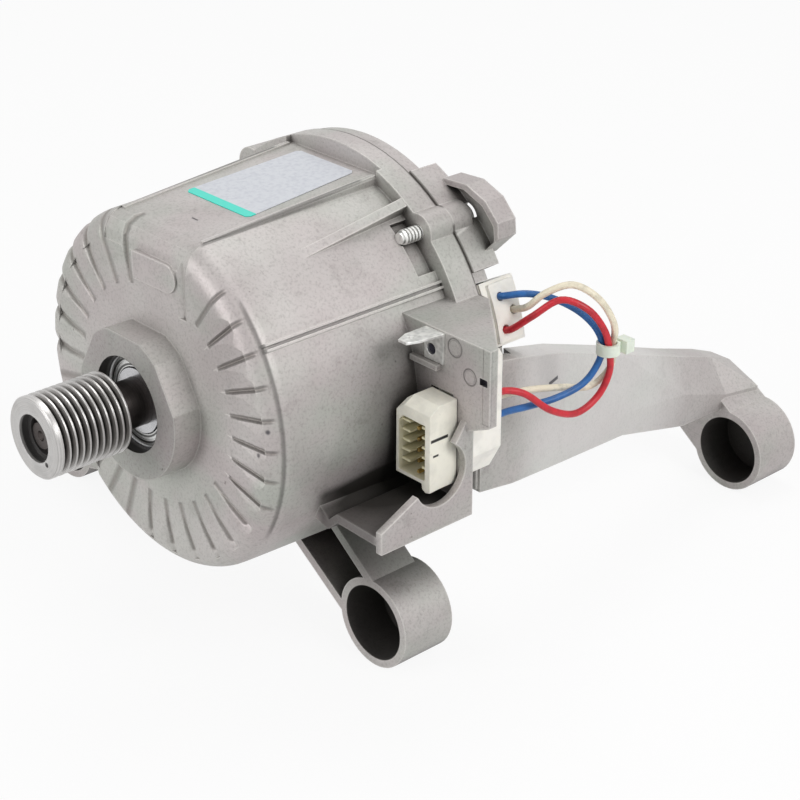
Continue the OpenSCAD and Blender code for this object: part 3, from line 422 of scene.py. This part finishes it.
def shade_and_hub_face(metal):
    from_shaft = shaft_distance(metal)
    # The hub's face is painted a little darker, and the wall of its bore gets painted shade.
    hub_face = metal.y.ramp(HUB_FACE_Y + 0.0001, HUB_FACE_Y - 0.0002) * 0.20
    hub_wall = from_shaft.ramp(HUB_BORE + 0.0001, HUB_BORE - 0.0002) * 0.70
    # Painted shade in the bores of the feet.
    bores = sum(round_bore(metal, axis, FOOT_BORE) for axis in FOOT_AXES) * 0.86
    # Painted shadow of the bracket on the body's side, and painted shade on the tray's floor.
    painted_shade = inside(metal, *SHADOWED_SIDE, 0.014) * 0.97
    tray = inside(metal, *TRAY_FLOOR, 0.0022) * 0.80
    # Thin lines of painted shade along the shoulder's crease and the platform's edges.
    crease = (abs(metal.y - SHOULDER_Y).ramp(0.0012, 0.0002) * from_shaft.ramp(0.0560, 0.0572)
              * metal.x.ramp(0.036, 0.042) * metal.z.ramp(-0.034, -0.026) * 0.60)
    ledge = (abs(abs(metal.x) - PLATFORM_EDGE_X).ramp(0.0009, 0.0003)
             * metal.z.ramp(PLATFORM_Z - 0.0005, PLATFORM_Z + 0.0005)
             * metal.y.ramp(PLATFORM_FRONT - 0.001, PLATFORM_FRONT + 0.001)
             * metal.y.ramp(PLATFORM_BACK + 0.001, PLATFORM_BACK - 0.001) * 0.5)
    return hub_face + hub_wall * metal.y.ramp(0.0236, 0.0226) + bores + painted_shade + tray + crease + ledge


# Painted highlight: the long rear arm is painted paler than the rest.
def paler_arm_highlight(metal):
    return metal.y.ramp(0.112, 0.135) * metal.y.ramp(0.240, 0.195) * 0.42


# The box printed below is where the bracket's painted shadow lies on the body.
print("oily side of the body, in metres:", SHADOWED_SIDE)

# %% [markdown]
# ## Marks on the housing
# The bracket carries two marks from the die: a ring near the earth tab and a small arc beside
# the square slot. Beside them lie the tab's hole and the slot, the shield has two small pits,
# the platform one scratch, and the rear arm one slot and two dots. A row for each in a table is
# easier to check against a picture than a long sum.

# %% Marks on the housing
RING_AT, ARC_AT = (0.0748, 0.0845, 0.0243), (0.0812, 0.0845, 0.0171)
PLATE_FACE = ((0.060, 0.0838, 0.010), (0.0864, 0.0852, 0.030))
PLATE_RIM = ((0.0866, 0.0838, 0.004), (0.0900, 0.0852, 0.0290))
# place, radius, softness and darkness
ROUND_MARKS = (
    ((0.0540, 0.0310, 0.0073), 0.0007, 0.0004, 0.8),
    ((0.0504, 0.0297, -0.0011), 0.0007, 0.0004, 0.8),
    ((0.0653, 0.0845, 0.0206), 0.0023, 0.0002, 1.0),
    ((0.0575, 0.1805, -0.0340), 0.0011, 0.0002, 1.0),
    ((0.0492, 0.2280, -0.0462), 0.0011, 0.0002, 1.0))
# lowest corner, highest corner and darkness
LONG_MARKS = (
    ((0.0022, 0.0455, 0.052), (0.0052, 0.0461, 0.056), 0.8),
    ((0.0850, 0.0846, 0.0160), (0.0886, 0.0880, 0.0186), 0.9),
    ((0.0570, 0.1377, -0.0098), (0.0650, 0.1437, -0.0086), 0.85))


def housing_marks(metal):
    face, rim = inside(metal, *PLATE_FACE), inside(metal, *PLATE_RIM)
    raised = (ring(metal, RING_AT, 0.0025, 0.0002, "y")
              + ring(metal, ARC_AT, 0.0022, 0.0002, "y")) * face
    outlines = (ring(metal, RING_AT, 0.0029, 0.00025, "y")
                + ring(metal, ARC_AT, 0.0026, 0.00025, "y")) * face * 0.5
    # The housing's painted shade, with the dark outlines of the two raised marks.
    shade_and_darkening = shade_and_hub_face(metal) + outlines
    # The tab's hole and the slots are painted dark, painted shade in their openings; the pits and
    # the scratch are dark marks.
    dark = sum(dot(metal, place, radius, soft) * share
               for place, radius, soft, share in ROUND_MARKS)
    dark = dark + sum(inside(metal, low, high) * share for low, high, share in LONG_MARKS)
    return paler_arm_highlight(metal), shade_and_darkening.maths("MINIMUM", shade_and_darkening, 0.95), dark, raised + rim, flutes(metal)


cast_aluminium = die_cast("cast_aluminium", 1.0, housing_marks)
cover_aluminium = die_cast("cover_aluminium", 0.98)
print("castings:", cast_aluminium.name, cover_aluminium.name)

# %% [markdown]
# ## Turned and ground steel
# A lathe leaves fine rings around the pulley, and a grinder leaves an even finer skin on the
# shaft and the bearing rings. Both are noise that is drawn out around the shaft: the pattern
# changes fast along Y and with the distance from the shaft, and hardly at all around it.

# %% Turned steel
RINGS_PER_METRE = 9000


def turned_steel(name, tone, roughness, streak=0.16, dark=None, dull=None):
    steel = Finish(name, Metallic=1.0)
    from_shaft = shaft_distance(steel)
    around = steel.node("CombineXYZ", None, {"X": from_shaft * RINGS_PER_METRE,
                                             "Y": steel.y * RINGS_PER_METRE, "Z": 0.0})
    rings = steel.noise(1.0, 2, 0.6, around)
    cloud = steel.noise(0.006, 3, 0.6)
    body = steel.mix(seen(*(v * 0.72 for v in tone)), seen(*tone), rings.ramp(0.30, 0.62))
    body = steel.mix(body, seen(*(v * 0.80 for v in tone)), cloud.ramp(0.45, 0.75) * 0.5)
    # The dark mask holds the pulley's punched dot and painted shade.
    if dark:
        body = steel.mix(body, seen(30, 27, 26), dark(steel, from_shaft))
    if dull:
        steel.feed(steel.shader.inputs["Metallic"], 1 - dull(steel, from_shaft))
    steel.colour(body)
    steel.rough(roughness + rings * streak)
    steel.bump(rings, 0.000012, rounding=0.0002)
    return steel.material


print("steel recipe ready, fine rings per metre:", RINGS_PER_METRE)

# %% [markdown]
# ## The pulley and the bearing's shield
# Two pieces of steel carry more than their turned skin. They hand the recipe a function of the
# distance from the shaft: for the pulley the punched dot, painted shade in its grooves and its
# recess, and the dull recess, and for the shield dark rings, painted shade at its pressed steps.

# %% Each steel
PUNCHED_AT, PUNCHED_RADIUS = (0.0059, -0.013, -0.0064), 0.0008
RECESS_RADIUS, SHIELD_STEP = 0.0088, 0.0019


def pulley_dot_and_shade(steel, from_shaft):
    punched = dot(steel, PUNCHED_AT, PUNCHED_RADIUS)
    # Painted shade in the grooves and the recess, behind the front face near the shaft.
    painted_shade = from_shaft.ramp(0.0122, 0.0110) * steel.y.ramp(-0.0125, -0.0119)
    return punched + painted_shade * 0.85


def pulley_recess(steel, from_shaft):
    return from_shaft.ramp(RECESS_RADIUS + 0.0002, RECESS_RADIUS - 0.0002) * 0.75


def shield_step_shade(steel, from_shaft):
    # Dark rings: painted shade at the shield's pressed steps.
    wave = steel.node("Math", {"operation": "PINGPONG"}, {0: from_shaft / SHIELD_STEP, 1: 0.5})
    return wave.ramp(0.24, 0.10) * 0.85


pulley_steel = turned_steel("pulley_steel", (206, 204, 202), 0.24,
                            dark=pulley_dot_and_shade, dull=pulley_recess)
shaft_steel = turned_steel("shaft_steel", (92, 86, 84), 0.30)
bearing_steel = turned_steel("bearing_steel", (206, 206, 208), 0.16, streak=0.08)
shield_steel = turned_steel("shield_steel", (238, 238, 236), 0.24, 0.08, dark=shield_step_shade)
spring_steel = turned_steel("spring_steel", (92, 94, 98), 0.34)
cage_steel = turned_steel("cage_steel", (140, 142, 146), 0.36)
end_plate_steel = turned_steel("end_plate_steel", (158, 160, 162), 0.34)
print("steels: shaft", shaft_steel.name, "and pulley", pulley_steel.name)

# %% [markdown]
# ## Zinc plating
# The screws and the earth tab are plated with zinc, which settles in cloudy patches called
# spangle. A modelled thread would take thousands of faces for lines that are about a millimetre
# apart, so the screws get theirs as a wave along Y.

# %% Zinc with a thread
THREAD_PITCH, THREAD_DEPTH = 0.0013, 0.0009


def zinc(name, thread_pitch=None):
    plate = Finish(name, Metallic=0.85)
    spangle = plate.node("TexVoronoi", {"feature": "SMOOTH_F1"}, {
        "Vector": plate.place, "Scale": 700, "Smoothness": 0.5}, out="Distance")
    haze = plate.noise(0.002, 3)
    patches = spangle.ramp(0.1, 0.7) * haze * 1.6
    plate.colour(plate.mix(seen(214, 215, 212), seen(244, 244, 241), patches))
    plate.rough(0.26 + haze * 0.2)
    if thread_pitch:
        wave = plate.node("Math", {"operation": "PINGPONG"}, {0: plate.y / thread_pitch, 1: 0.5})
        plate.bump(wave * plate.y.ramp(SEAM_Y + 0.0005, SEAM_Y - 0.0005), THREAD_DEPTH)
    else:
        plate.bump(haze, 0.00002, rounding=0.0002)
    return plate.material


zinc_steel = zinc("zinc_steel")
zinc_thread = zinc("zinc_thread", THREAD_PITCH)
print("thread pitch in metres:", THREAD_PITCH)

# %% [markdown]
# ## Moulded plastic
# The connector is nylon in an ivory white. The terminal block and the back of the connector are a
# cleaner white. A mould leaves an even, very fine grain and small flow marks, so each plastic is
# one colour with faint clouds, a soft shine and a grain that is only felt in the highlights. The
# connector's mouth is a box painted a deeper, yellower colour and darker in its corners, all
# painted shade, and the two latch slots in its right side are painted black, painted shade in
# openings that the shell doesn't have.

# %% Plastics
def moulded(name, colour, roughness=0.42, glow=0.06, inner=None, slots=()):
    plastic = Finish(name, Subsurface_Weight=glow, Subsurface_Radius=(0.002, 0.0016, 0.001))
    cloud = plastic.noise(0.006, 3)
    grain = plastic.noise(0.0004, 2)
    body = plastic.mix(seen(*(v * 0.94 for v in colour)), seen(*colour), cloud.ramp(0.3, 0.6))
    flow_marks = plastic.noise(0.0015, 4).ramp(0.62, 0.75) * 0.4
    body = plastic.mix(body, seen(*(v * 0.86 for v in colour)), flow_marks)
    if inner:
        # The mouth is painted a deeper, yellower colour and darker in its corners: painted shade.
        low, high, mouth_shade_colour = inner
        deep = inside(plastic, low, high, 0.0006)
        body = plastic.mix(body, seen(*mouth_shade_colour), deep)
        shaded = crevice_shade(plastic, 0.006).ramp(0.60, 1.00) * deep * 0.5
        body = plastic.mix(body, seen(*(v * 0.45 for v in mouth_shade_colour)), shaded)
    # The latch slots are painted black: painted shade where the shell has no opening.
    for low, high in slots:
        body = plastic.mix(body, seen(22, 20, 18), inside(plastic, low, high, 0.00015))
    plastic.colour(body)
    plastic.rough(roughness + grain * 0.12)
    plastic.bump(grain + cloud * 2, 0.00001, rounding=0.00035)
    return plastic.material


# lowest and highest corner of each
LATCH_SLOTS = (((0.0756, 0.0739, -0.0029), (0.0768, 0.0808, -0.0019)),
               ((0.0756, 0.0748, -0.0079), (0.0768, 0.0770, -0.0072)))
CONNECTOR_MOUTH = ((0.0624, 0.0738, -0.0163), (0.0740, 0.0850, 0.0024))
ivory_plastic = moulded("ivory_plastic", (238, 235, 222), slots=LATCH_SLOTS,
                        inner=(*CONNECTOR_MOUTH, (224, 218, 184)))
white_plastic = moulded("white_plastic", (244, 241, 233))
bobbin_plastic = moulded("bobbin_plastic", (222, 212, 184))
tie_plastic = moulded("tie_plastic", (230, 238, 224), 0.34, 0.15)
gasket_rubber = moulded("gasket_rubber", (176, 172, 162), 0.7, 0.0)
print("latch slots in the connector's side:", len(LATCH_SLOTS))

# %% [markdown]
# ## The inside
# Nobody sees the stator through the closed housing, but each piece still gets its own finish:
# dark laminations with the fine lines of stacked sheets, enamelled copper with the lines of its
# turns, and dull magnets. The lines are again noise that is stretched, here so that it changes
# only along the stack.

# %% Laminations, copper, magnets, brass
def layered(name, colour, layer, axis_scale, metallic, roughness):
    stack = Finish(name, Metallic=metallic)
    lines = stack.noise(1.0, 1, 0.5, stack.stretched(*(s / layer for s in axis_scale)))
    stain = stack.noise(0.008, 4)
    body = stack.mix(seen(*(v * 0.6 for v in colour)), seen(*colour), lines.ramp(0.35, 0.6))
    stack.colour(stack.mix(body, seen(*(v * 0.8 for v in colour)), stain.ramp(0.5, 0.7) * 0.6))
    stack.rough(roughness + stain * 0.15)
    stack.bump(lines, 0.00004)
    return stack.material


lamination = layered("lamination", (118, 118, 120), 0.0005, (0.03, 1, 0.03), 0.6, 0.5)
copper = layered("copper", (176, 96, 48), 0.0008, (1, 0.05, 1), 0.8, 0.3)
ferrite = layered("ferrite", (70, 70, 74), 0.004, (1, 1, 1), 0.2, 0.55)
contact_brass = layered("contact_brass", (208, 176, 104), 0.001, (1, 0.2, 1), 0.9, 0.28)
print("inner finishes:", [finish.name for finish in (lamination, copper, ferrite, contact_brass)])

# %% [markdown]
# ## The label
# A film on the platform: pale white that leans to violet, with one turquoise stripe across its
# front end. An image could be laid on it, but a plain stripe is only a limit on Y, and it stays
# sharp from close by. Noise gives the film its slightly worn skin, and a thin coat its gloss.

# %% Label film
STRIPE_WIDTH = 0.0032


def label_film():
    film = Finish("label_film", Coat_Weight=0.25, Coat_Roughness=0.15)
    low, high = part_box("rating_label")
    fibre = film.noise(0.0016, 3)
    stripe = film.y.ramp(low.y + STRIPE_WIDTH + 0.0002, low.y + STRIPE_WIDTH - 0.0001)
    edge = abs(film.x).ramp(0.0128, 0.0156) * 0.25
    paper = film.mix(seen(208, 211, 217), seen(196, 199, 207), fibre.ramp(0.4, 0.7) + edge)
    film.colour(film.mix(paper, seen(52, 220, 200), stripe))
    film.rough(0.36 + fibre * 0.12)
    film.bump(fibre, 0.000008)
    return film.material


label_material = label_film()
print("stripe width in metres:", STRIPE_WIDTH)

# %% [markdown]
# ## The wires
# Three insulated wires leave the terminal block, swing out in a loop, pass through a cable tie
# and enter the back of the connector. In CAD they are eight-sided tubes. A Blender curve with a
# round bevel is truly round and just as thick, so each curve takes the place of its tube and
# follows the same points. The CAD tubes pass smoothly through their points by a Catmull-Rom
# spline, and so do these.

# %% Routes, the same as in the CAD source
BLOCK_R, BLOCK_Y, BACK_Y, CONNECTOR_TOP = 0.063, 0.112, 0.097, 0.0065


def leaves_block(angle, behind, out):
    turn = math.radians(angle)
    return ((BLOCK_R + out) * math.cos(turn), BLOCK_Y + behind, (BLOCK_R + out) * math.sin(turn))


def enters_back(x, below, out):
    return (x, BACK_Y + out, CONNECTOR_TOP - below)


def millimetres(*points):
    return [tuple(v / 1000 for v in p) for p in points]


routes = {
    "blue": [leaves_block(23.5, 0.006, 0), leaves_block(23.5, 0.006, 0.004)] + millimetres(
        (66.4, 122.8, 27.6), (71.3, 128.6, 26), (77, 134, 22.2), (82, 137, 17.2), (84.2, 138, 11.3),
        (83.9, 135.8, 5), (82.8, 130.6, 0.2), (80.6, 122, -2.2), (78.4, 112.5, -2.6)) + [
        enters_back(0.077, 0.0087, 0.007), enters_back(0.077, 0.0087, 0)],
    "red": [leaves_block(14.5, 0.0055, 0), leaves_block(14.5, 0.0055, 0.004)] + millimetres(
        (71, 120.5, 22.3), (77.4, 125.8, 28.2), (83.4, 131.2, 25.6), (86.2, 135.9, 18.6),
        (86.7, 138.4, 11), (86.4, 139.2, 3), (85.4, 135.4, -4.4), (84.8, 126.5, -7.4),
        (83.6, 116.5, -3.4), (80.2, 109, 3.2)) + [
        enters_back(0.0775, 0.0011, 0.006), enters_back(0.0775, 0.0011, 0)],
    "white": [leaves_block(19, 0.010, 0), leaves_block(19, 0.010, 0.004)] + millimetres(
        (67.8, 122, 24.2), (72.6, 124.6, 29.4), (79, 129.4, 32.6), (85.2, 134.4, 28.4),
        (87.6, 139, 19.5), (85.9, 140.7, 11), (84.8, 141.2, 3.5), (81.8, 136, -2.2),
        (79, 126.5, -0.6), (76.2, 115.5, 1.2)) + [
        enters_back(0.0738, 0.0045, 0.007), enters_back(0.0738, 0.0045, 0)],
}
print("routes:", {name: len(points) for name, points in routes.items()})

# %% [markdown]
# ## Smooth lines
# A NURBS curve would only pass near its points and cut the bends. A Catmull-Rom spline passes
# through each of its points and leaves it in the direction from the point before to the point
# after. Six steps from point to point are smooth enough for a wire.

# %% From points to lines
def smooth_line(points, steps=6):
    points = [Vector(p) for p in points]
    line = []
    for k in range(len(points) - 1):
        a, b, c = points[max(k - 1, 0)], points[k], points[k + 1]
        d = points[min(k + 2, len(points) - 1)]
        for i in range(steps):
            t = i / steps
            line.append(0.5 * (2 * b + (c - a) * t + (2 * a - 5 * b + 4 * c - d) * t ** 2
                               + (3 * b - a - 3 * c + d) * t ** 3))
    return line + [points[-1]]


lines = {name: smooth_line(points) for name, points in routes.items()}
lengths = {name: sum((b - a).length for a, b in zip(line, line[1:]))
           for name, line in lines.items()}
print("wire lengths in mm:", {name: round(v * 1000, 1) for name, v in lengths.items()})

# %% [markdown] ## Insulation The insulation is soft plastic: a strong colour that is a little
# uneven, with pale scuffs where it rubbed. Each wire is then a curve through its points with a
# round bevel.

# %% Insulation and curves
def insulation(name, colour):
    skin = Finish(name)
    haze = skin.noise(0.003, 3)
    scuff = skin.noise(0.0009, 4, 0.7).ramp(0.60, 0.72)
    body = skin.mix(seen(*(v * 0.86 for v in colour)), seen(*colour), haze.ramp(0.3, 0.6))
    skin.colour(skin.mix(body, seen(*(v * 0.5 + 120 for v in colour)), scuff * 0.18))
    skin.rough(0.34 + haze * 0.16)
    skin.bump(haze + scuff, 0.00002)
    return skin.material


WIRE_COLOURS = {"blue": (31, 98, 166), "red": (204, 36, 50), "white": (236, 227, 204)}
WIRE_DIAMETER = 0.0022
for name, line in lines.items():
    curve = bpy.data.curves.new(name + "_lead", "CURVE")
    curve.dimensions = "3D"
    curve.bevel_depth = WIRE_DIAMETER / 2
    curve.bevel_resolution = 4
    curve.use_fill_caps = True
    spline = curve.splines.new("POLY")
    spline.points.add(len(line) - 1)
    for point, place in zip(spline.points, line):
        point.co = (*place, 1)
    spline.use_smooth = True
    curve.materials.append(insulation(name + "_insulation", WIRE_COLOURS[name]))
    lead = bpy.data.objects.new(name + "_lead", curve)
    bpy.context.scene.collection.objects.link(lead)
    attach(lead, "stator")
    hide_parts("wire_" + name)
    name + "_wire"
    print(name, "wire:", len(line), "points")

# %% [markdown]
# ## The connector's shell
# The real connector is a moulded shell with a deep mouth, ribs on both sides that guide the
# plug, a hood over the mouth and a thicker right wall that reaches lower. It could be cut from a
# block with booleans. Here it is a skin over five rings of eight points: around the back, over
# the hood, to the front, into the mouth and down to its floor. The ribs are small blocks, and a
# Bevel modifier rounds all edges as a mould does.

# %% Skin a shell over its rings
import bmesh

# outlines seen from the front, X and Z, and each ring's outline and Y, all in millimetres
BACK = ((61.9, -17.3), (72.6, -17.3), (73.2, -18.9), (74.4, -19.6), (76.2, -19.2), (76.2, 8.4),
        (65.6, 8.6), (62.3, 6.2))
FRONT = ((61.4, -17.3), (72.6, -17.3), (73.0, -19.2), (74.4, -19.9), (76.2, -19.4), (76.2, 5.9),
         (65.0, 6.1), (61.6, 3.6))
MOUTH = ((62.5, -16.2), (72.6, -16.2), (73.2, -16.1), (73.8, -15.8), (74.0, -15.2), (74.0, 2.2),
         (64.6, 2.3), (62.6, 0.4))
RINGS = ((BACK, 84.4), (BACK, 77.2), (FRONT, 73.5), (MOUTH, 73.5), (MOUTH, 83.0))
print("points around each ring:", [len(outline) for outline, y in RINGS])


def ring_of_points(shell, outline, y):
    return [shell.verts.new((x / 1000, y / 1000, z / 1000)) for x, z in outline]


def block(shell, low, high):
    outline = ((low[0], low[2]), (high[0], low[2]), (high[0], high[2]), (low[0], high[2]))
    skin(shell, [ring_of_points(shell, outline, low[1]), ring_of_points(shell, outline, high[1])])


def skin(shell, rings):
    for near, far in zip(rings, rings[1:]):
        for k in range(len(near)):
            shell.faces.new((near[k], near[k - 1], far[k - 1], far[k]))
    shell.faces.new(rings[0])
    shell.faces.new(rings[-1])


# %% [markdown]
# ## Building the shell
# The rings are skinned, a block is added that passes into the bracket, five ribs are added on
# either side, and all faces are turned outwards. The shell rides on the stator, as the solid that
# it replaces does.

# %% The shell and its ribs
INTO_BRACKET = ((64.9, 84.0, -17.9), (74.3, 87.3, 6.3))
RIBS_EACH_SIDE, LOWEST_RIB, RIB_PITCH, RIB_THICKNESS = 5, -13.4, 3.3, 0.8
RIB_FRONT, RIB_END = 75.0, 82.9
LEFT_RIB_X, RIGHT_RIB_X = (62.4, 66.0), (71.0, 74.1)

shell = bmesh.new()
skin(shell, [ring_of_points(shell, outline, y) for outline, y in RINGS])
block(shell, *INTO_BRACKET)
for k in range(RIBS_EACH_SIDE):
    height = LOWEST_RIB + k * RIB_PITCH
    for near_x, far_x in (LEFT_RIB_X, RIGHT_RIB_X):
        block(shell, (near_x, RIB_FRONT, height), (far_x, RIB_END, height + RIB_THICKNESS))
bmesh.ops.recalc_face_normals(shell, faces=shell.faces)
shell_mesh = bpy.data.meshes.new("connector_shell")
shell.to_mesh(shell_mesh)
shell.free()
shell_mesh.materials.append(ivory_plastic)
connector_shell = bpy.data.objects.new("connector_shell", shell_mesh)
bpy.context.scene.collection.objects.link(connector_shell)
soft_edges = connector_shell.modifiers.new("soft_edges", "BEVEL")
soft_edges.width, soft_edges.segments, soft_edges.limit_method = 0.00028, 2, "ANGLE"
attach(connector_shell, "stator")
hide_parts("connector_housing")
print("connector shell:", len(shell_mesh.polygons), "faces")

# %% [markdown]
# ## Each piece gets its finish
# The CAD pieces keep their shape and only take a material. One table says which piece has which
# finish, so that nothing is forgotten: it has an entry for every piece that isn't a wire.

# %% Hand out the finishes
finishes = {
    "motor_housing": cast_aluminium, "rear_cover": cover_aluminium, "cover_screws": zinc_thread,
    "stator_core": lamination, "insulator_front": bobbin_plastic, "insulator_rear": bobbin_plastic,
    "stator_coils": copper, "rotor_core": lamination, "rotor_magnets": ferrite,
    "rotor_end_plates": end_plate_steel, "shaft": shaft_steel, "pulley": pulley_steel,
    "front_bearing_outer": bearing_steel, "front_bearing_inner": bearing_steel,
    "front_bearing_balls": bearing_steel, "front_bearing_cage": cage_steel,
    "front_bearing_shields": shield_steel, "rear_bearing_outer": bearing_steel,
    "rear_bearing_inner": bearing_steel, "rear_bearing_balls": bearing_steel,
    "rear_bearing_cage": cage_steel, "rear_bearing_shields": shield_steel,
    "bearing_circlip": spring_steel, "wave_washer": spring_steel,
    "terminal_block": white_plastic, "terminal_gasket": gasket_rubber,
    "terminal_pins": contact_brass, "connector_housing": ivory_plastic,
    "connector_back": white_plastic, "connector_pins": contact_brass, "earth_tab": zinc_steel,
    "cable_tie": tie_plastic, "rating_label": label_material,
}
for name, material in finishes.items():
    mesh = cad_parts[name].data
    mesh.materials.clear()
    mesh.materials.append(material)
print(len(finishes), "pieces finished")

# %% [markdown]
# ## The studio
# The motor stands on a plain pale floor under soft light. The brightest lamp is on its right,
# from above, where the rear arm is lightest; a weaker one fills the front, one softens the top,
# and the world fills the rest. Their powers are low, so that a colour renders about as written.

# %% Lamps
def area_lamp(name, place, aim, size, power):
    lamp = bpy.data.lights.new(name, "AREA")
    lamp.size, lamp.energy = size, power
    lamp_object = bpy.data.objects.new(name, lamp)
    lamp_object.location = place
    lamp_object.rotation_mode = "QUATERNION"
    lamp_object.rotation_quaternion = (Vector(aim) - Vector(place)).to_track_quat("-Z", "Y")
    bpy.context.scene.collection.objects.link(lamp_object)


area_lamp("key_right", (1.15, 0.20, 0.80), (0, 0.1, 0), 0.6, 9.5)
area_lamp("fill_front", (-0.35, -1.3, 0.45), (0, 0.05, 0), 0.8, 9.0)
area_lamp("top_soft", (-0.3, 0.45, 1.3), (0, 0.1, 0), 0.8, 6.0)
print("lamps:", [lamp.name for lamp in bpy.data.lights])

# %% [markdown] ## The floor The floor is one large square. It sits a fifth of a millimetre below
# the feet, so that the two surfaces don't flicker into each other.

# %% The floor
FLOOR_GAP, HALF_SIDE = 0.0002, 5.0
floor_z = cad_box[0][2] - FLOOR_GAP
floor_mesh = bpy.data.meshes.new("floor")
floor_mesh.from_pydata([(x * HALF_SIDE, y * HALF_SIDE, floor_z) for x, y in (
    (-1, -1), (1, -1), (1, 1), (-1, 1))], [], [(0, 1, 2, 3)])
floor = bpy.data.objects.new("floor", floor_mesh)
bpy.context.scene.collection.objects.link(floor)
print("floor at", round(floor_z, 4), "metres")

# %% [markdown]
# ## White paper and white sky
# Light Path tells what kind of ray asks for a colour. A ray from the camera, a mirror or glass
# finds a pure white sky, and a floor of which only a tenth takes light and shadow. Every other
# ray finds the whole floor lit and a weaker sky, so the light on the motor stays soft.

# %% Paper and sky
def seen_rays(material):
    """1 for rays from the camera, a mirror or glass, 0 for light on its way to a surface."""
    rays = sum(material.node("LightPath", out="Is %s Ray" % kind)
               for kind in ("Camera", "Glossy", "Transmission"))
    return rays.maths("MINIMUM", rays, 1.0)


WHITE_SHARE, SKY_LIGHT = 0.90, 0.30
paper = Finish("white_paper", Roughness=0.9, Specular_IOR_Level=0.1)
paper.colour(paper.mix(seen(240, 240, 240), seen(246, 246, 246), paper.noise(0.05)))
glow = paper.node("Emission", None, {"Color": (1, 1, 1, 1), "Strength": 1.0})
lit = Shade(paper, paper.shader.outputs[0])
blend = paper.node("MixShader", None, {0: seen_rays(paper) * WHITE_SHARE, 1: lit, 2: glow})
paper.tree.links.new(blend.socket, paper.tree.nodes["Material Output"].inputs["Surface"])
floor_mesh.materials.append(paper.material)

world = bpy.data.worlds.new("studio")
bpy.context.scene.world = world
world.use_nodes = True
sky = Web(world.node_tree)
background = sky.tree.nodes["Background"]
background.inputs["Color"].default_value = (1, 1, 1, 1)
sky.feed(background.inputs["Strength"], SKY_LIGHT + seen_rays(sky) * (1 - SKY_LIGHT))
bpy.context.scene.view_settings.view_transform = "Standard"
print("sky for the light on the motor:", SKY_LIGHT)

# %% [markdown]
# ## The end
# Every piece now has its finish, under three lamps, over a pale floor and in a white sky.
